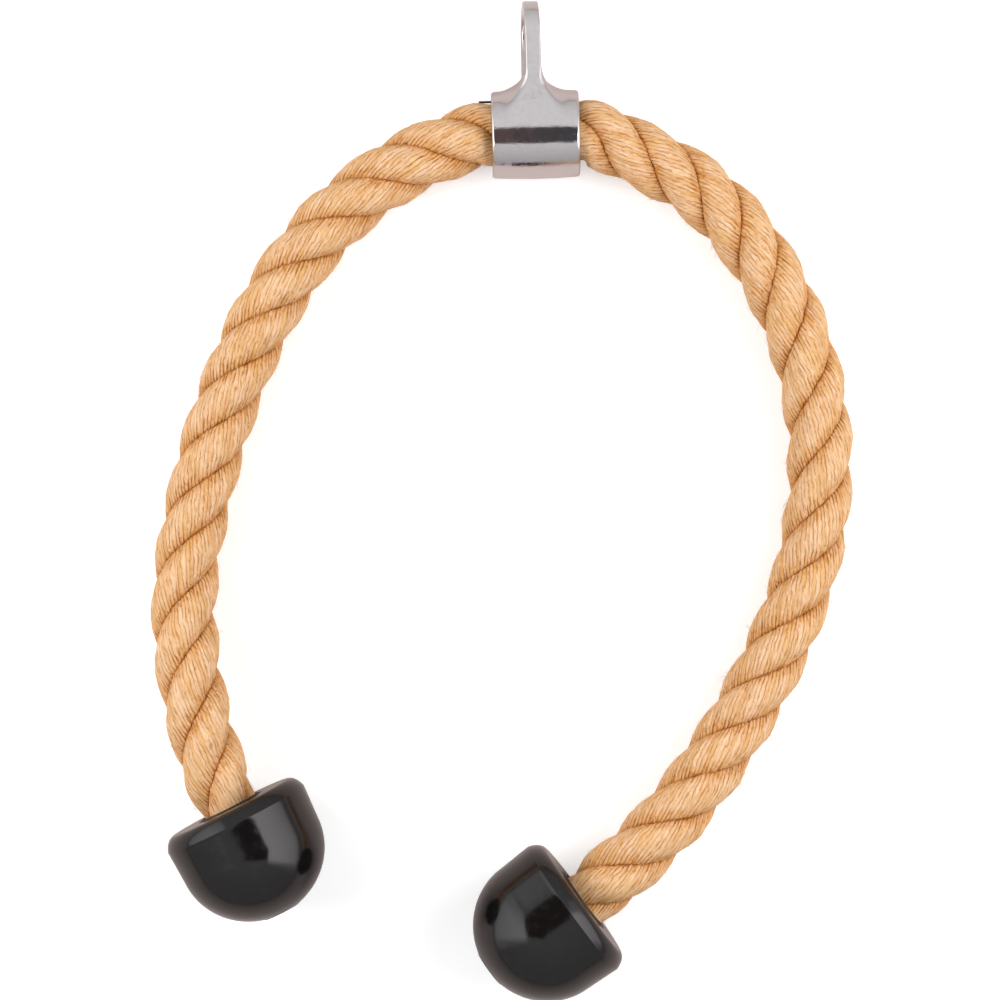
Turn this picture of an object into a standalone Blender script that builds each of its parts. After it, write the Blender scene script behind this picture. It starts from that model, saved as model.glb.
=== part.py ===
"""A triceps rope attachment: a three-strand rope through a cast eye sleeve, with a domed cap on each end.

It lies on a surface, seen from above. X runs to the right, Y towards the eye and Z up, in metres.
The origin is on the surface, under the middle of the box round the casting and the two caps.
"""

import math

import bmesh
import bpy
import numpy as np
from mathutils import Matrix, Vector

MM = 0.001

# Clearances
TOUCH_GAP = 0.3 * MM
FLOOR_GAP = 0.3 * MM
CUT_OVERRUN = 4.0 * MM
WELD_DISTANCE = 0.01 * MM

# Rope, squeezed a little in the sleeve and in the caps
ROPE_RADIUS = 16.0 * MM
SLEEVE_SQUEEZE = 1.0 * MM
CAP_SQUEEZE = 0.8 * MM
BIGHT_RADIUS = ROPE_RADIUS - SLEEVE_SQUEEZE
TAIL_RADIUS = ROPE_RADIUS - CAP_SQUEEZE
TAPE_THICKNESS = 1.45 * MM
END_STEP = 1.5 * MM
RING_STEP = 19.0 * MM
MOUTH_LEAD = 4.0 * MM

# Cast sleeve: its bore goes round the rope and its tape
SLEEVE_X = 68.1 * MM
SLEEVE_Y = 177.7 * MM
SLEEVE_TURN = math.radians(1.4)
SLEEVE_LENGTH = 42.6 * MM
SLEEVE_WALL = 4.55 * MM
SLEEVE_CROWN = 0.7 * MM
SLEEVE_EDGE_RADIUS = 1.3 * MM
SLEEVE_BORE_CHAMFER = 0.6 * MM
SLEEVE_BORE = BIGHT_RADIUS + TOUCH_GAP + TAPE_THICKNESS + TOUCH_GAP
SLEEVE_RADIUS = SLEEVE_BORE + SLEEVE_WALL

# Lug and eye on the sleeve. Seen along the rope, its flanks run from inside the barrel's wall to the eye.
EYE_REACH = 26.1 * MM
EYE_RADIUS = 17.3 * MM
EYE_HOLE = 9.5 * MM
EYE_TWIST = math.radians(3.1)
LUG_THICKNESS = 7.4 * MM
LUG_OFFSET = -1.3 * MM
LUG_ROOT_INSET = 0.9 * MM
LUG_ROOT_HEIGHT = 2.0 * MM
LUG_EDGE = 0.8 * MM
LUG_FLARE_RADIUS = 9.5 * MM
FLARE_HALF_DEPTH = 11.7 * MM
FLARE_ROOT = SLEEVE_BORE - TOUCH_GAP
EYE_DISTANCE = SLEEVE_RADIUS + EYE_REACH

# Tape and grub screw in the sleeve
TAPE_INSET = 1.1 * MM
TONGUE_LENGTH = 6.0 * MM
TONGUE_HALF_WIDTH = 2.5 * MM
GRUB_RADIUS = 3.0 * MM
GRUB_RECESS = 0.9 * MM
GRUB_SOCKET = 1.5 * MM
GRUB_SOCKET_DEPTH = 2.0 * MM

# Domed cap: a slightly tapered skirt, a rounded rim and a dome that is part of an ellipse
CAP_RADIUS = 36.4 * MM
CAP_TAPER = 0.8 * MM
CAP_RIM_RADIUS = 6.0 * MM
CAP_SKIRT_DEPTH = 23.2 * MM
CAP_DOME_DEPTH = 34.1 * MM
CAP_MOUTH_LENGTH = 10.0 * MM
CAP_CAVITY_RADIUS = 20.0 * MM
CAP_MOUTH_CHAMFER = 0.6 * MM

# Plug at the cap's pole
PLUG_RADIUS = 9.7 * MM
PLUG_LENGTH = 9.0 * MM
PLUG_PROUD = 0.4 * MM
PLUG_EDGE = 0.6 * MM

# What holds the rope in the cap. The washer goes in through the plug's hole.
CAP_TAPE_INSET = 0.5 * MM
CAP_TAPE_THICKNESS = 1.0 * MM
CAP_TAPE_LIP = 0.8 * MM
CAVITY_ROOM = 2.0 * MM
PLUG_ROOM = 3.7 * MM
SCREW_RADIUS = 2.0 * MM
SCREW_LENGTH = 18.0 * MM
SCREW_HEAD_RADIUS = 5.0 * MM
SCREW_HEAD_HEIGHT = 3.0 * MM
WASHER_PLAY = 1.0 * MM
WASHER_THICKNESS = 2.0 * MM
WASHER_BRIM = 1.0 * MM
WASHER_RADIUS = PLUG_RADIUS + TOUCH_GAP - WASHER_PLAY
WEDGE_START_DEPTH = 14.0 * MM
WEDGE_TIP_WALL = 0.9 * MM
WEDGE_TIP_RADIUS = SCREW_RADIUS + TOUCH_GAP + WEDGE_TIP_WALL
WEDGE_END_RADIUS = WASHER_RADIUS - WASHER_BRIM

# Steps of round pieces
CAP_STEPS = 36
SLEEVE_STEPS = 40
SMALL_STEPS = 20
DOME_ARC_STEPS = 8
CROWN_ARC_STEPS = 6
EDGE_ARC_STEPS = 3
EYE_ARC_STEPS = 24
HOLE_ARC_STEPS = 28
FLARE_ARC_STEPS = 6
ROPE_SIDE_RESOLUTION = 4
ROUTE_SAMPLES = 600
PIVOT_SAMPLES = 60

ROPE_REST = ROPE_RADIUS + FLOOR_GAP

UP = Vector((0.0, 0.0, 1.0))


# Where each stretch of an arm ends, as a share of its length. The rope bends in the first and the third.
STRETCH_END_SHARES = {"mouth_rope": 0.29, "upper_rope": 0.47, "mid_rope": 0.79, "lower_rope": 1.0}

# The middle of each cap's flat face, and the way the cap points
LEFT_FACE_X = -79.6 * MM
LEFT_FACE_Y = -149.2 * MM
LEFT_HEADING = math.radians(-63.5)
RIGHT_FACE_X = 91.0 * MM
RIGHT_FACE_Y = -194.0 * MM
RIGHT_HEADING = math.radians(-143.6)

# The route of each arm between the sleeve and its cap
LEFT_ROUTE = [
    (29.5 * MM, 173.7 * MM, 20.4 * MM),
    (0.1 * MM, 160.4 * MM, 18.0 * MM),
    (-37.8 * MM, 128.9 * MM, ROPE_REST),
    (-65.3 * MM, 88.2 * MM, ROPE_REST),
    (-84.7 * MM, 42.4 * MM, ROPE_REST),
    (-97.6 * MM, -5.4 * MM, 17.4 * MM),
    (-103.1 * MM, -53.9 * MM, 23.6 * MM),
    (-96.3 * MM, -102.0 * MM, 32.2 * MM),
]
RIGHT_ROUTE = [
    (107.7 * MM, 173.4 * MM, 20.4 * MM),
    (142.7 * MM, 155.2 * MM, 17.6 * MM),
    (181.2 * MM, 112.7 * MM, ROPE_REST),
    (202.9 * MM, 58.5 * MM, ROPE_REST),
    (206.9 * MM, -0.1 * MM, ROPE_REST),
    (193.6 * MM, -56.8 * MM, ROPE_REST),
    (167.5 * MM, -109.0 * MM, 20.4 * MM),
    (133.5 * MM, -155.4 * MM, 30.8 * MM),
]


class Arm:
    """One arm of the rope: its side of the sleeve, its route, and the face and heading of its cap."""

    def __init__(self, side, sign, route, face, heading):
        self.side = side
        self.sign = sign
        self.route = route
        self.face = Vector((*face, CAP_RADIUS))
        self.axis = Vector((math.cos(heading), math.sin(heading), 0.0))


LEFT = Arm("left", -1.0, LEFT_ROUTE, (LEFT_FACE_X, LEFT_FACE_Y), LEFT_HEADING)
RIGHT = Arm("right", 1.0, RIGHT_ROUTE, (RIGHT_FACE_X, RIGHT_FACE_Y), RIGHT_HEADING)


def clear_scene():
    """Removes whatever the file holds."""
    for thing in list(bpy.data.objects):
        bpy.data.objects.remove(thing, do_unlink=True)


def new_collection(name):
    """Makes a collection in the scene."""
    made = bpy.data.collections.new(name)
    bpy.context.scene.collection.children.link(made)
    return made


def finish_of(name, colour, roughness, metallic=0.0):
    """Makes a plain Principled material."""
    made = bpy.data.materials.new(name)
    made.use_nodes = True
    shader = made.node_tree.nodes["Principled BSDF"]
    shader.inputs["Base Color"].default_value = (*colour, 1.0)
    shader.inputs["Roughness"].default_value = roughness
    shader.inputs["Metallic"].default_value = metallic
    made.diffuse_color = (*colour, 1.0)
    return made


def evaluated_mesh(thing):
    """Gives a copy of an object's mesh as its modifiers leave it."""
    bpy.context.view_layer.update()
    return bpy.data.meshes.new_from_object(thing.evaluated_get(bpy.context.evaluated_depsgraph_get()))


def as_cutter(thing):
    """Marks an object as a cutter, which isn't a piece of the object."""
    thing.hide_render = True
    thing.display_type = "WIRE"
    return thing


def boolean(thing, other, operation):
    """Adds a Boolean modifier that takes the other object."""
    cut = thing.modifiers.new(operation.lower(), "BOOLEAN")
    cut.operation = operation
    cut.solver = "EXACT"
    cut.object = other


def smooth_round_faces(mesh):
    """Shades a turned mesh smooth, with its corners kept sharp."""
    mesh.shade_smooth()
    mesh.set_sharp_from_angle(angle=math.radians(35.0))


def turned(name, profile, steps, place, collection, finish=None, closed=True):
    """Turns a profile of (radius, height) points about Z with a Screw modifier, and puts it in place."""
    mesh = bpy.data.meshes.new(name)
    points = [(radius, 0.0, height) for radius, height in profile]
    count = len(points)
    edges = [(i, (i + 1) % count) for i in range(count if closed else count - 1)]
    mesh.from_pydata(points, edges, [])
    thing = bpy.data.objects.new(name, mesh)
    screw = thing.modifiers.new("turn", "SCREW")
    screw.axis = "Z"
    screw.angle = 2.0 * math.pi
    screw.steps = steps
    screw.render_steps = steps
    screw.use_merge_vertices = True
    screw.merge_threshold = WELD_DISTANCE
    weld = thing.modifiers.new("weld", "WELD")
    weld.merge_threshold = WELD_DISTANCE
    collection.objects.link(thing)
    solid = evaluated_mesh(thing)
    thing.modifiers.clear()
    thing.data = solid
    bpy.data.meshes.remove(mesh)
    solid.name = name
    outward(solid)
    smooth_round_faces(solid)
    thing.matrix_world = place
    if finish:
        solid.materials.append(finish)
    return thing


def outward(mesh):
    """Points every face of a closed mesh outwards."""
    shape = bmesh.new()
    shape.from_mesh(mesh)
    bmesh.ops.recalc_face_normals(shape, faces=shape.faces)
    shape.to_mesh(mesh)
    shape.free()


def plate(name, outlines, half_thickness, place, collection):
    """Makes a flat plate from closed outlines with a filled 2D curve, as a mesh with its rims welded."""
    curve = bpy.data.curves.new(name, "CURVE")
    curve.dimensions = "2D"
    curve.fill_mode = "BOTH"
    curve.extrude = half_thickness
    for outline in outlines:
        spline = curve.splines.new("POLY")
        spline.points.add(len(outline) - 1)
        for point, (x, y) in zip(spline.points, outline):
            point.co = (x, y, 0.0, 1.0)
        spline.use_cyclic_u = True
    source = bpy.data.objects.new(name + "_outline", curve)
    collection.objects.link(source)
    mesh = evaluated_mesh(source)
    bpy.data.objects.remove(source, do_unlink=True)
    bpy.data.curves.remove(curve)
    shape = bmesh.new()
    shape.from_mesh(mesh)
    bmesh.ops.remove_doubles(shape, verts=shape.verts, dist=WELD_DISTANCE)
    bmesh.ops.recalc_face_normals(shape, faces=shape.faces)
    shape.to_mesh(mesh)
    shape.free()
    thing = bpy.data.objects.new(name, mesh)
    thing.matrix_world = place
    collection.objects.link(thing)
    return thing


def box(name, low, high, place, collection):
    """Makes a box between two corners."""
    shape = bmesh.new()
    bmesh.ops.create_cube(shape, size=1.0)
    size = Vector(high) - Vector(low)
    middle = (Vector(high) + Vector(low)) / 2.0
    place_and_size = Matrix.Translation(middle) @ Matrix.Diagonal((*size, 1.0))
    bmesh.ops.transform(shape, matrix=place_and_size, verts=shape.verts)
    mesh = bpy.data.meshes.new(name)
    shape.to_mesh(mesh)
    shape.free()
    thing = bpy.data.objects.new(name, mesh)
    thing.matrix_world = place
    collection.objects.link(thing)
    return thing


def arc(centre, radius, start_degrees, end_degrees, steps):
    """Points along an arc, both ends included."""
    step = (end_degrees - start_degrees) / steps
    turn = [math.radians(start_degrees + step * i) for i in range(steps + 1)]
    return [(centre[0] + radius * math.cos(a), centre[1] + radius * math.sin(a)) for a in turn]


def frame_along(point, direction):
    """A matrix that puts Z along a level direction, at a point, with its own Y straight up."""
    z = direction.normalized()
    y = UP.copy()
    x = y.cross(z)
    rotation = Matrix((x, y, z)).transposed()
    return Matrix.Translation(point) @ rotation.to_4x4()


def sleeve_frame():
    """The sleeve's own frame: X along the rope, Y towards the eye and Z up."""
    turn = Matrix.Rotation(SLEEVE_TURN, 4, "Z")
    return Matrix.Translation((SLEEVE_X, SLEEVE_Y, SLEEVE_RADIUS)) @ turn


def along_rope():
    """Turns Z onto the sleeve frame's X, for pieces turned about the rope."""
    return sleeve_frame() @ Matrix.Rotation(math.pi / 2.0, 4, "Y")


def barrel_profile():
    """The sleeve's outline down to its axis: a crowned wall with rounded ends."""
    half = SLEEVE_LENGTH / 2.0
    end_radius = SLEEVE_RADIUS - SLEEVE_CROWN
    flat = half - SLEEVE_EDGE_RADIUS
    points = [(0.0, half)]
    points += arc((end_radius - SLEEVE_EDGE_RADIUS, flat), SLEEVE_EDGE_RADIUS, 90.0, 0.0, EDGE_ARC_STEPS)
    for i in range(1, CROWN_ARC_STEPS):
        height = flat * (1.0 - 2.0 * i / CROWN_ARC_STEPS)
        points.append((SLEEVE_RADIUS - SLEEVE_CROWN * (height / flat) ** 2, height))
    points += arc((end_radius - SLEEVE_EDGE_RADIUS, -flat), SLEEVE_EDGE_RADIUS, 0.0, -90.0, EDGE_ARC_STEPS)
    points.append((0.0, -half))
    return points


def bore_profile():
    """What the sleeve's bore cuts away, with a chamfer at each mouth."""
    half = SLEEVE_LENGTH / 2.0
    beyond = half + CUT_OVERRUN
    mouth = SLEEVE_BORE + SLEEVE_BORE_CHAMFER
    return [
        (0.0, beyond),
        (mouth, beyond),
        (mouth, half),
        (SLEEVE_BORE, half - SLEEVE_BORE_CHAMFER),
        (SLEEVE_BORE, SLEEVE_BORE_CHAMFER - half),
        (mouth, -half),
        (mouth, -beyond),
        (0.0, -beyond),
    ]


def lug_outline():
    """The lug seen along the rope: a round eye whose straight flanks widen to the barrel."""
    root = SLEEVE_RADIUS - LUG_ROOT_INSET
    lean = math.asin((root - EYE_RADIUS) / EYE_DISTANCE)
    half_width = root / math.cos(lean) - LUG_ROOT_HEIGHT * math.tan(lean)
    turn = math.degrees(lean)
    round_end = arc((0.0, EYE_DISTANCE), EYE_RADIUS, turn, 180.0 - turn, EYE_ARC_STEPS)
    return [(-half_width, LUG_ROOT_HEIGHT), (half_width, LUG_ROOT_HEIGHT)] + round_end


def flare_outline():
    """The lug's foot seen from the front: a waist that widens to the sleeve with a fillet on each side."""
    waist = LUG_THICKNESS / 2.0
    top = SLEEVE_RADIUS + LUG_FLARE_RADIUS
    right = arc((waist + LUG_FLARE_RADIUS, top), LUG_FLARE_RADIUS, 270.0, 180.0, FLARE_ARC_STEPS)
    left = [(-x, y) for x, y in reversed(right)]
    foot = waist + LUG_FLARE_RADIUS
    return [(-foot, FLARE_ROOT), (foot, FLARE_ROOT)] + right + left


def make_eye_sleeve(pieces, cutters, chrome):
    """The chromed casting: barrel, lug and eye, bored for the rope and drilled for the grub screw."""
    lug_turn = Matrix.Translation((LUG_OFFSET, 0.0, 0.0)) @ Matrix.Rotation(EYE_TWIST, 4, "Y")
    body = turned("eye_sleeve", barrel_profile(), SLEEVE_STEPS, along_rope(), pieces, chrome, closed=False)
    side_view = Matrix.Rotation(-math.pi / 2.0, 4, "Y")
    hole = arc((0.0, EYE_DISTANCE), EYE_HOLE, 0.0, 360.0, HOLE_ARC_STEPS)[:-1]
    lug = plate(
        "lug", [lug_outline(), hole], LUG_THICKNESS / 2.0, sleeve_frame() @ lug_turn @ side_view, cutters
    )
    edge = lug.modifiers.new("edge", "BEVEL")
    edge.width = LUG_EDGE
    edge.segments = 2
    edge.limit_method = "ANGLE"
    edge.angle_limit = math.radians(50.0)
    flare = plate("flare", [flare_outline()], FLARE_HALF_DEPTH, sleeve_frame() @ lug_turn, cutters)
    bore = turned("sleeve_bore", bore_profile(), SLEEVE_STEPS, along_rope(), cutters, closed=False)
    down = sleeve_frame() @ Matrix.Rotation(math.pi, 4, "X")
    tapped = [
        (0.0, SLEEVE_RADIUS + CUT_OVERRUN),
        (GRUB_RADIUS + TOUCH_GAP, SLEEVE_RADIUS + CUT_OVERRUN),
        (GRUB_RADIUS + TOUCH_GAP, SLEEVE_BORE - CUT_OVERRUN),
        (0.0, SLEEVE_BORE - CUT_OVERRUN),
    ]
    drill = turned("grub_drill", tapped, SMALL_STEPS, down, cutters, closed=False)
    for other, operation in ((lug, "UNION"), (flare, "UNION"), (bore, "DIFFERENCE"), (drill, "DIFFERENCE")):
        boolean(body, as_cutter(other), operation)
    return body


def make_grub_screw(pieces, steel):
    """The set screw in the sleeve's underside, with a socket for its key."""
    outer = SLEEVE_RADIUS - GRUB_RECESS
    inner = SLEEVE_BORE
    profile = [
        (0.0, outer - GRUB_SOCKET_DEPTH),
        (GRUB_SOCKET, outer - GRUB_SOCKET_DEPTH),
        (GRUB_SOCKET, outer),
        (GRUB_RADIUS, outer),
        (GRUB_RADIUS, inner),
        (0.0, inner),
    ]
    place = sleeve_frame() @ Matrix.Rotation(math.pi, 4, "X")
    return turned("grub_screw", profile, SMALL_STEPS, place, pieces, steel, closed=False)


def make_sleeve_tape(pieces, cutters, tape):
    """Tape wound round the rope in the sleeve, with a loose end out of the left mouth."""
    inner = BIGHT_RADIUS + TOUCH_GAP
    outer = inner + TAPE_THICKNESS
    mouth = SLEEVE_LENGTH / 2.0
    half = mouth - TAPE_INSET
    tip = mouth + TONGUE_LENGTH
    tongue_inner = ROPE_RADIUS + TOUCH_GAP
    profile = [
        (outer, half),
        (outer, -tip),
        (tongue_inner, -tip),
        (tongue_inner, -half),
        (inner, -half),
        (inner, half),
    ]
    body = turned("sleeve_tape", profile, SLEEVE_STEPS, along_rope(), pieces, tape)
    reach = outer + CUT_OVERRUN
    beyond = tip + CUT_OVERRUN
    frame = sleeve_frame()
    waste = {
        "above_tongue": ((-beyond, -reach, TONGUE_HALF_WIDTH), (-half, reach, reach)),
        "under_tongue": ((-beyond, -reach, -reach), (-half, reach, -TONGUE_HALF_WIDTH)),
        "across_tongue": ((-beyond, -reach, -reach), (-half, 0.0, reach)),
    }
    for name, (low, high) in waste.items():
        boolean(body, as_cutter(box(name, low, high, frame, cutters)), "DIFFERENCE")
    return body


def smooth_curve(knots, values, start_slope, end_slope, at):
    """Reads a cubic spline through (knots, values), with its two end slopes given, at some places."""
    count = len(knots)
    gaps = np.diff(knots)
    system = np.zeros((count, count))
    right = np.zeros((count, values.shape[1]))
    slopes = np.diff(values, axis=0) / gaps[:, None]
    system[0, :2] = 2.0 * gaps[0], gaps[0]
    right[0] = 6.0 * (slopes[0] - start_slope)
    for i in range(1, count - 1):
        system[i, i - 1 : i + 2] = gaps[i - 1], 2.0 * (gaps[i - 1] + gaps[i]), gaps[i]
        right[i] = 6.0 * (slopes[i] - slopes[i - 1])
    system[-1, -2:] = gaps[-1], 2.0 * gaps[-1]
    right[-1] = 6.0 * (end_slope - slopes[-1])
    bends = np.linalg.solve(system, right)
    part = np.clip(np.searchsorted(knots, at) - 1, 0, count - 2)
    gap = gaps[part][:, None]
    after = (at - knots[part])[:, None]
    before = gap - after
    low, high = bends[part], bends[part + 1]
    return (
        (low * before**3 + high * after**3) / (6.0 * gap)
        + (values[part] / gap - low * gap / 6.0) * before
        + (values[part + 1] / gap - high * gap / 6.0) * after
    )


def arm_route(arm):
    """The rope's centre from the sleeve's mouth to the lip at the cap's face: points and lengths."""
    frame = sleeve_frame()
    mouth = frame @ Vector((arm.sign * SLEEVE_LENGTH / 2.0, 0.0, 0.0))
    out = frame.to_3x3() @ Vector((arm.sign, 0.0, 0.0))
    lead = mouth + out * MOUTH_LEAD
    lip = arm.face - arm.axis * CAP_TAPE_LIP
    knots = np.array([mouth, lead, *[Vector(place) for place in arm.route], lip])
    places = np.concatenate([[0.0], np.cumsum(np.linalg.norm(np.diff(knots, axis=0), axis=1))])
    at = np.linspace(0.0, places[-1], ROUTE_SAMPLES)
    line = smooth_curve(places, knots, np.array(out), np.array(arm.axis), at)
    lengths = np.concatenate([[0.0], np.cumsum(np.linalg.norm(np.diff(line, axis=0), axis=1))])
    return line, lengths


def on_route(arm, at):
    """Points of an arm's centre at some lengths from the sleeve."""
    line, lengths = arm_route(arm)
    return np.stack([np.interp(at, lengths, line[:, axis]) for axis in range(3)], axis=1)


def stretch_ends(arm):
    """Where each stretch of an arm starts and ends, as lengths from the sleeve."""
    total = arm_route(arm)[1][-1]
    ends, start = {}, 0.0
    for name, share in STRETCH_END_SHARES.items():
        ends[name] = (start, share * total)
        start = share * total
    return ends


def pivot_place(arm, stretch):
    """The middle of a bending stretch, where its upright axis stands."""
    start, end = stretch_ends(arm)[stretch]
    return Vector(on_route(arm, np.linspace(start, end, PIVOT_SAMPLES)).mean(axis=0))


def tube(name, points, radius, collection, finish):
    """A round tube along points, closed at both ends."""
    curve = bpy.data.curves.new(name, "CURVE")
    curve.dimensions = "3D"
    curve.bevel_depth = radius
    curve.bevel_resolution = ROPE_SIDE_RESOLUTION
    curve.use_fill_caps = True
    spline = curve.splines.new("POLY")
    spline.points.add(len(points) - 1)
    for point, place in zip(spline.points, points):
        point.co = (*place, 1.0)
    thing = bpy.data.objects.new(name, curve)
    curve.materials.append(finish)
    collection.objects.link(thing)
    return thing


def make_rope_stretches(arm, pieces, fibre):
    """Lays an arm's rope from sleeve to cap, one tube for each stretch, with a thin gap between them."""
    made = {}
    for name, (start, end) in stretch_ends(arm).items():
        first = max(start, TOUCH_GAP) + TOUCH_GAP / 2.0
        last = end - TOUCH_GAP / 2.0
        rings = max(2, round((last - first - 2.0 * END_STEP) / RING_STEP)) + 1
        inner = np.linspace(first + END_STEP, last - END_STEP, rings)
        at = np.concatenate([[first], inner, [last]])
        made[name] = tube(f"{arm.side}_{name}", on_route(arm, at), ROPE_RADIUS, pieces, fibre)
    return made


def make_rope_bight(pieces, fibre):
    """The straight stretch of rope inside the sleeve."""
    half = SLEEVE_LENGTH / 2.0
    frame = sleeve_frame()
    ends = [frame @ Vector((-half, 0.0, 0.0)), frame @ Vector((half, 0.0, 0.0))]
    return tube("rope_bight", ends, BIGHT_RADIUS, pieces, fibre)


def plug_hole():
    """The radius of the hole that the plug sits in."""
    return PLUG_RADIUS + TOUCH_GAP


def dome_base():
    """The skirt's radius where the dome begins."""
    return CAP_RADIUS - CAP_TAPER


def pole_depth():
    """How deep the cap is at the edge of the plug's hole."""
    return CAP_SKIRT_DEPTH + CAP_DOME_DEPTH * math.sqrt(1.0 - (plug_hole() / dome_base()) ** 2)


def screw_seat():
    """How deep the screw's head sits: under the plug, with room for a driver's reach."""
    return pole_depth() + PLUG_PROUD - PLUG_LENGTH - PLUG_ROOM - SCREW_HEAD_HEIGHT


def tail_end():
    """How deep the rope and its wedge end, under the washer and the screw's head."""
    return screw_seat() - WASHER_THICKNESS - TOUCH_GAP * 2.0


def cavity_depth():
    """How deep the cap is hollow."""
    return tail_end() + CAVITY_ROOM


def mouth_radius():
    """The cap's bore at its mouth, round the tape on the rope's end."""
    return TAIL_RADIUS + TOUCH_GAP + CAP_TAPE_THICKNESS + TOUCH_GAP


def cap_profile():
    """The cap's wall as a closed outline, with depth measured from its flat face."""
    rim_centre = (CAP_RADIUS - CAP_RIM_RADIUS, CAP_RIM_RADIUS)
    rim = arc(rim_centre, CAP_RIM_RADIUS, 270.0, 360.0, EDGE_ARC_STEPS + 1)
    last = math.asin(plug_hole() / dome_base())
    dome = []
    for i in range(DOME_ARC_STEPS + 1):
        angle = (math.pi / 2.0 - last) * i / DOME_ARC_STEPS
        dome.append((dome_base() * math.cos(angle), CAP_SKIRT_DEPTH + CAP_DOME_DEPTH * math.sin(angle)))
    mouth = mouth_radius()
    inside = [
        (plug_hole(), cavity_depth()),
        (CAP_CAVITY_RADIUS, cavity_depth()),
        (mouth, CAP_MOUTH_LENGTH),
        (mouth, CAP_MOUTH_CHAMFER),
        (mouth + CAP_MOUTH_CHAMFER, 0.0),
    ]
    return rim + dome + inside


def tail_profile():
    """The rope's end in the cap: straight under its tape, then spread by the wedge."""
    start = TOUCH_GAP / 2.0 - CAP_TAPE_LIP
    end = tail_end()
    growth = (CAP_CAVITY_RADIUS - mouth_radius()) / (cavity_depth() - CAP_MOUTH_LENGTH)
    spread = mouth_radius() + growth * (end - CAP_MOUTH_LENGTH) - 2.0 * TOUCH_GAP
    shoulder = mouth_radius() - 2.0 * TOUCH_GAP
    wedge_gap = TOUCH_GAP * 1.5
    return [
        (0.0, start),
        (TAIL_RADIUS, start),
        (TAIL_RADIUS, cap_tape_end() + TOUCH_GAP),
        (shoulder, cap_tape_end() + CAP_TAPE_THICKNESS + TOUCH_GAP),
        (spread, end),
        (WEDGE_END_RADIUS + wedge_gap, end),
        (WEDGE_TIP_RADIUS + wedge_gap, WEDGE_START_DEPTH - TOUCH_GAP),
        (0.0, WEDGE_START_DEPTH - TOUCH_GAP),
    ]


def wedge_profile():
    """The cone that spreads the rope's strands, bored for its screw."""
    bore = SCREW_RADIUS + TOUCH_GAP
    return [
        (bore, WEDGE_START_DEPTH),
        (WEDGE_TIP_RADIUS, WEDGE_START_DEPTH),
        (WEDGE_END_RADIUS, tail_end()),
        (bore, tail_end()),
    ]


def washer_profile():
    """The washer on the wedge's wide end."""
    low = tail_end() + TOUCH_GAP
    high = low + WASHER_THICKNESS
    bore = SCREW_RADIUS + TOUCH_GAP
    return [(bore, low), (WASHER_RADIUS, low), (WASHER_RADIUS, high), (bore, high)]


def screw_profile():
    """The round-headed screw through washer and wedge."""
    seat = screw_seat()
    crown = SCREW_HEAD_HEIGHT / 2.0
    return [
        (0.0, seat - SCREW_LENGTH),
        (SCREW_RADIUS, seat - SCREW_LENGTH + SCREW_RADIUS),
        (SCREW_RADIUS, seat),
        (SCREW_HEAD_RADIUS, seat),
        (SCREW_HEAD_RADIUS, seat + crown),
        (SCREW_HEAD_RADIUS - crown, seat + SCREW_HEAD_HEIGHT),
        (0.0, seat + SCREW_HEAD_HEIGHT),
    ]


def plug_profile():
    """The flat-faced plug in the pole's hole."""
    top = pole_depth() + PLUG_PROUD
    low = top - PLUG_LENGTH
    return [
        (0.0, low),
        (PLUG_RADIUS, low),
        (PLUG_RADIUS, top - PLUG_EDGE),
        (PLUG_RADIUS - PLUG_EDGE, top),
        (0.0, top),
    ]


def cap_tape_end():
    """How deep the tape on the rope's end reaches, a little short of the cap's mouth."""
    return CAP_MOUTH_LENGTH - CAP_TAPE_INSET


def cap_tape_profile():
    """Tape round the rope's end, with a lip that stands out of the cap's mouth."""
    inner = TAIL_RADIUS + TOUCH_GAP
    outer = inner + CAP_TAPE_THICKNESS
    lip = TOUCH_GAP / 2.0 - CAP_TAPE_LIP
    return [(inner, lip), (outer, lip), (outer, cap_tape_end()), (inner, cap_tape_end())]


def make_cap(arm, pieces, finishes):
    """One end cap and what holds the rope in it, from the mouth to the pole."""
    place = frame_along(arm.face, arm.axis)
    turned_pieces = [
        ("cap", cap_profile(), CAP_STEPS, "gloss_black", True),
        ("cap_tape", cap_tape_profile(), CAP_STEPS, "tape", True),
        ("rope_tail", tail_profile(), CAP_STEPS, "fibre", False),
        ("wedge", wedge_profile(), SMALL_STEPS, "wedge", True),
        ("washer", washer_profile(), SMALL_STEPS, "steel", True),
        ("cap_screw", screw_profile(), SMALL_STEPS, "steel", False),
        ("plug", plug_profile(), SMALL_STEPS, "gloss_black", False),
    ]
    return [
        turned(f"{arm.side}_{name}", profile, steps, place, pieces, finishes[finish], closed)
        for name, profile, steps, finish, closed in turned_pieces
    ]


def make_pivot(name, place, pieces):
    """An empty on the upright axis that a part of the rope swings about."""
    pivot = bpy.data.objects.new(name, None)
    pivot.empty_display_size = ROPE_RADIUS
    pivot.location = place
    pieces.objects.link(pivot)
    print(name, [round(value, 5) for value in place])
    return pivot


def hang(things, parent):
    """Parents things to an empty and leaves them where they are."""
    bpy.context.view_layer.update()
    for thing in things:
        thing.parent = parent
        thing.matrix_parent_inverse = parent.matrix_world.inverted()


def make_arm(arm, pieces, finishes):
    """One arm with its cap. It swings at the sleeve's mouth and bends halfway, on two pivots in a chain."""
    rope = make_rope_stretches(arm, pieces, finishes["fibre"])
    cap = make_cap(arm, pieces, finishes)
    swing = make_pivot(f"{arm.side}_arm_swing", pivot_place(arm, "mouth_rope"), pieces)
    bend = make_pivot(f"{arm.side}_arm_bend", pivot_place(arm, "mid_rope"), pieces)
    hang([bend, rope["upper_rope"], rope["mid_rope"]], swing)
    hang([rope["lower_rope"], *cap], bend)


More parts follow.
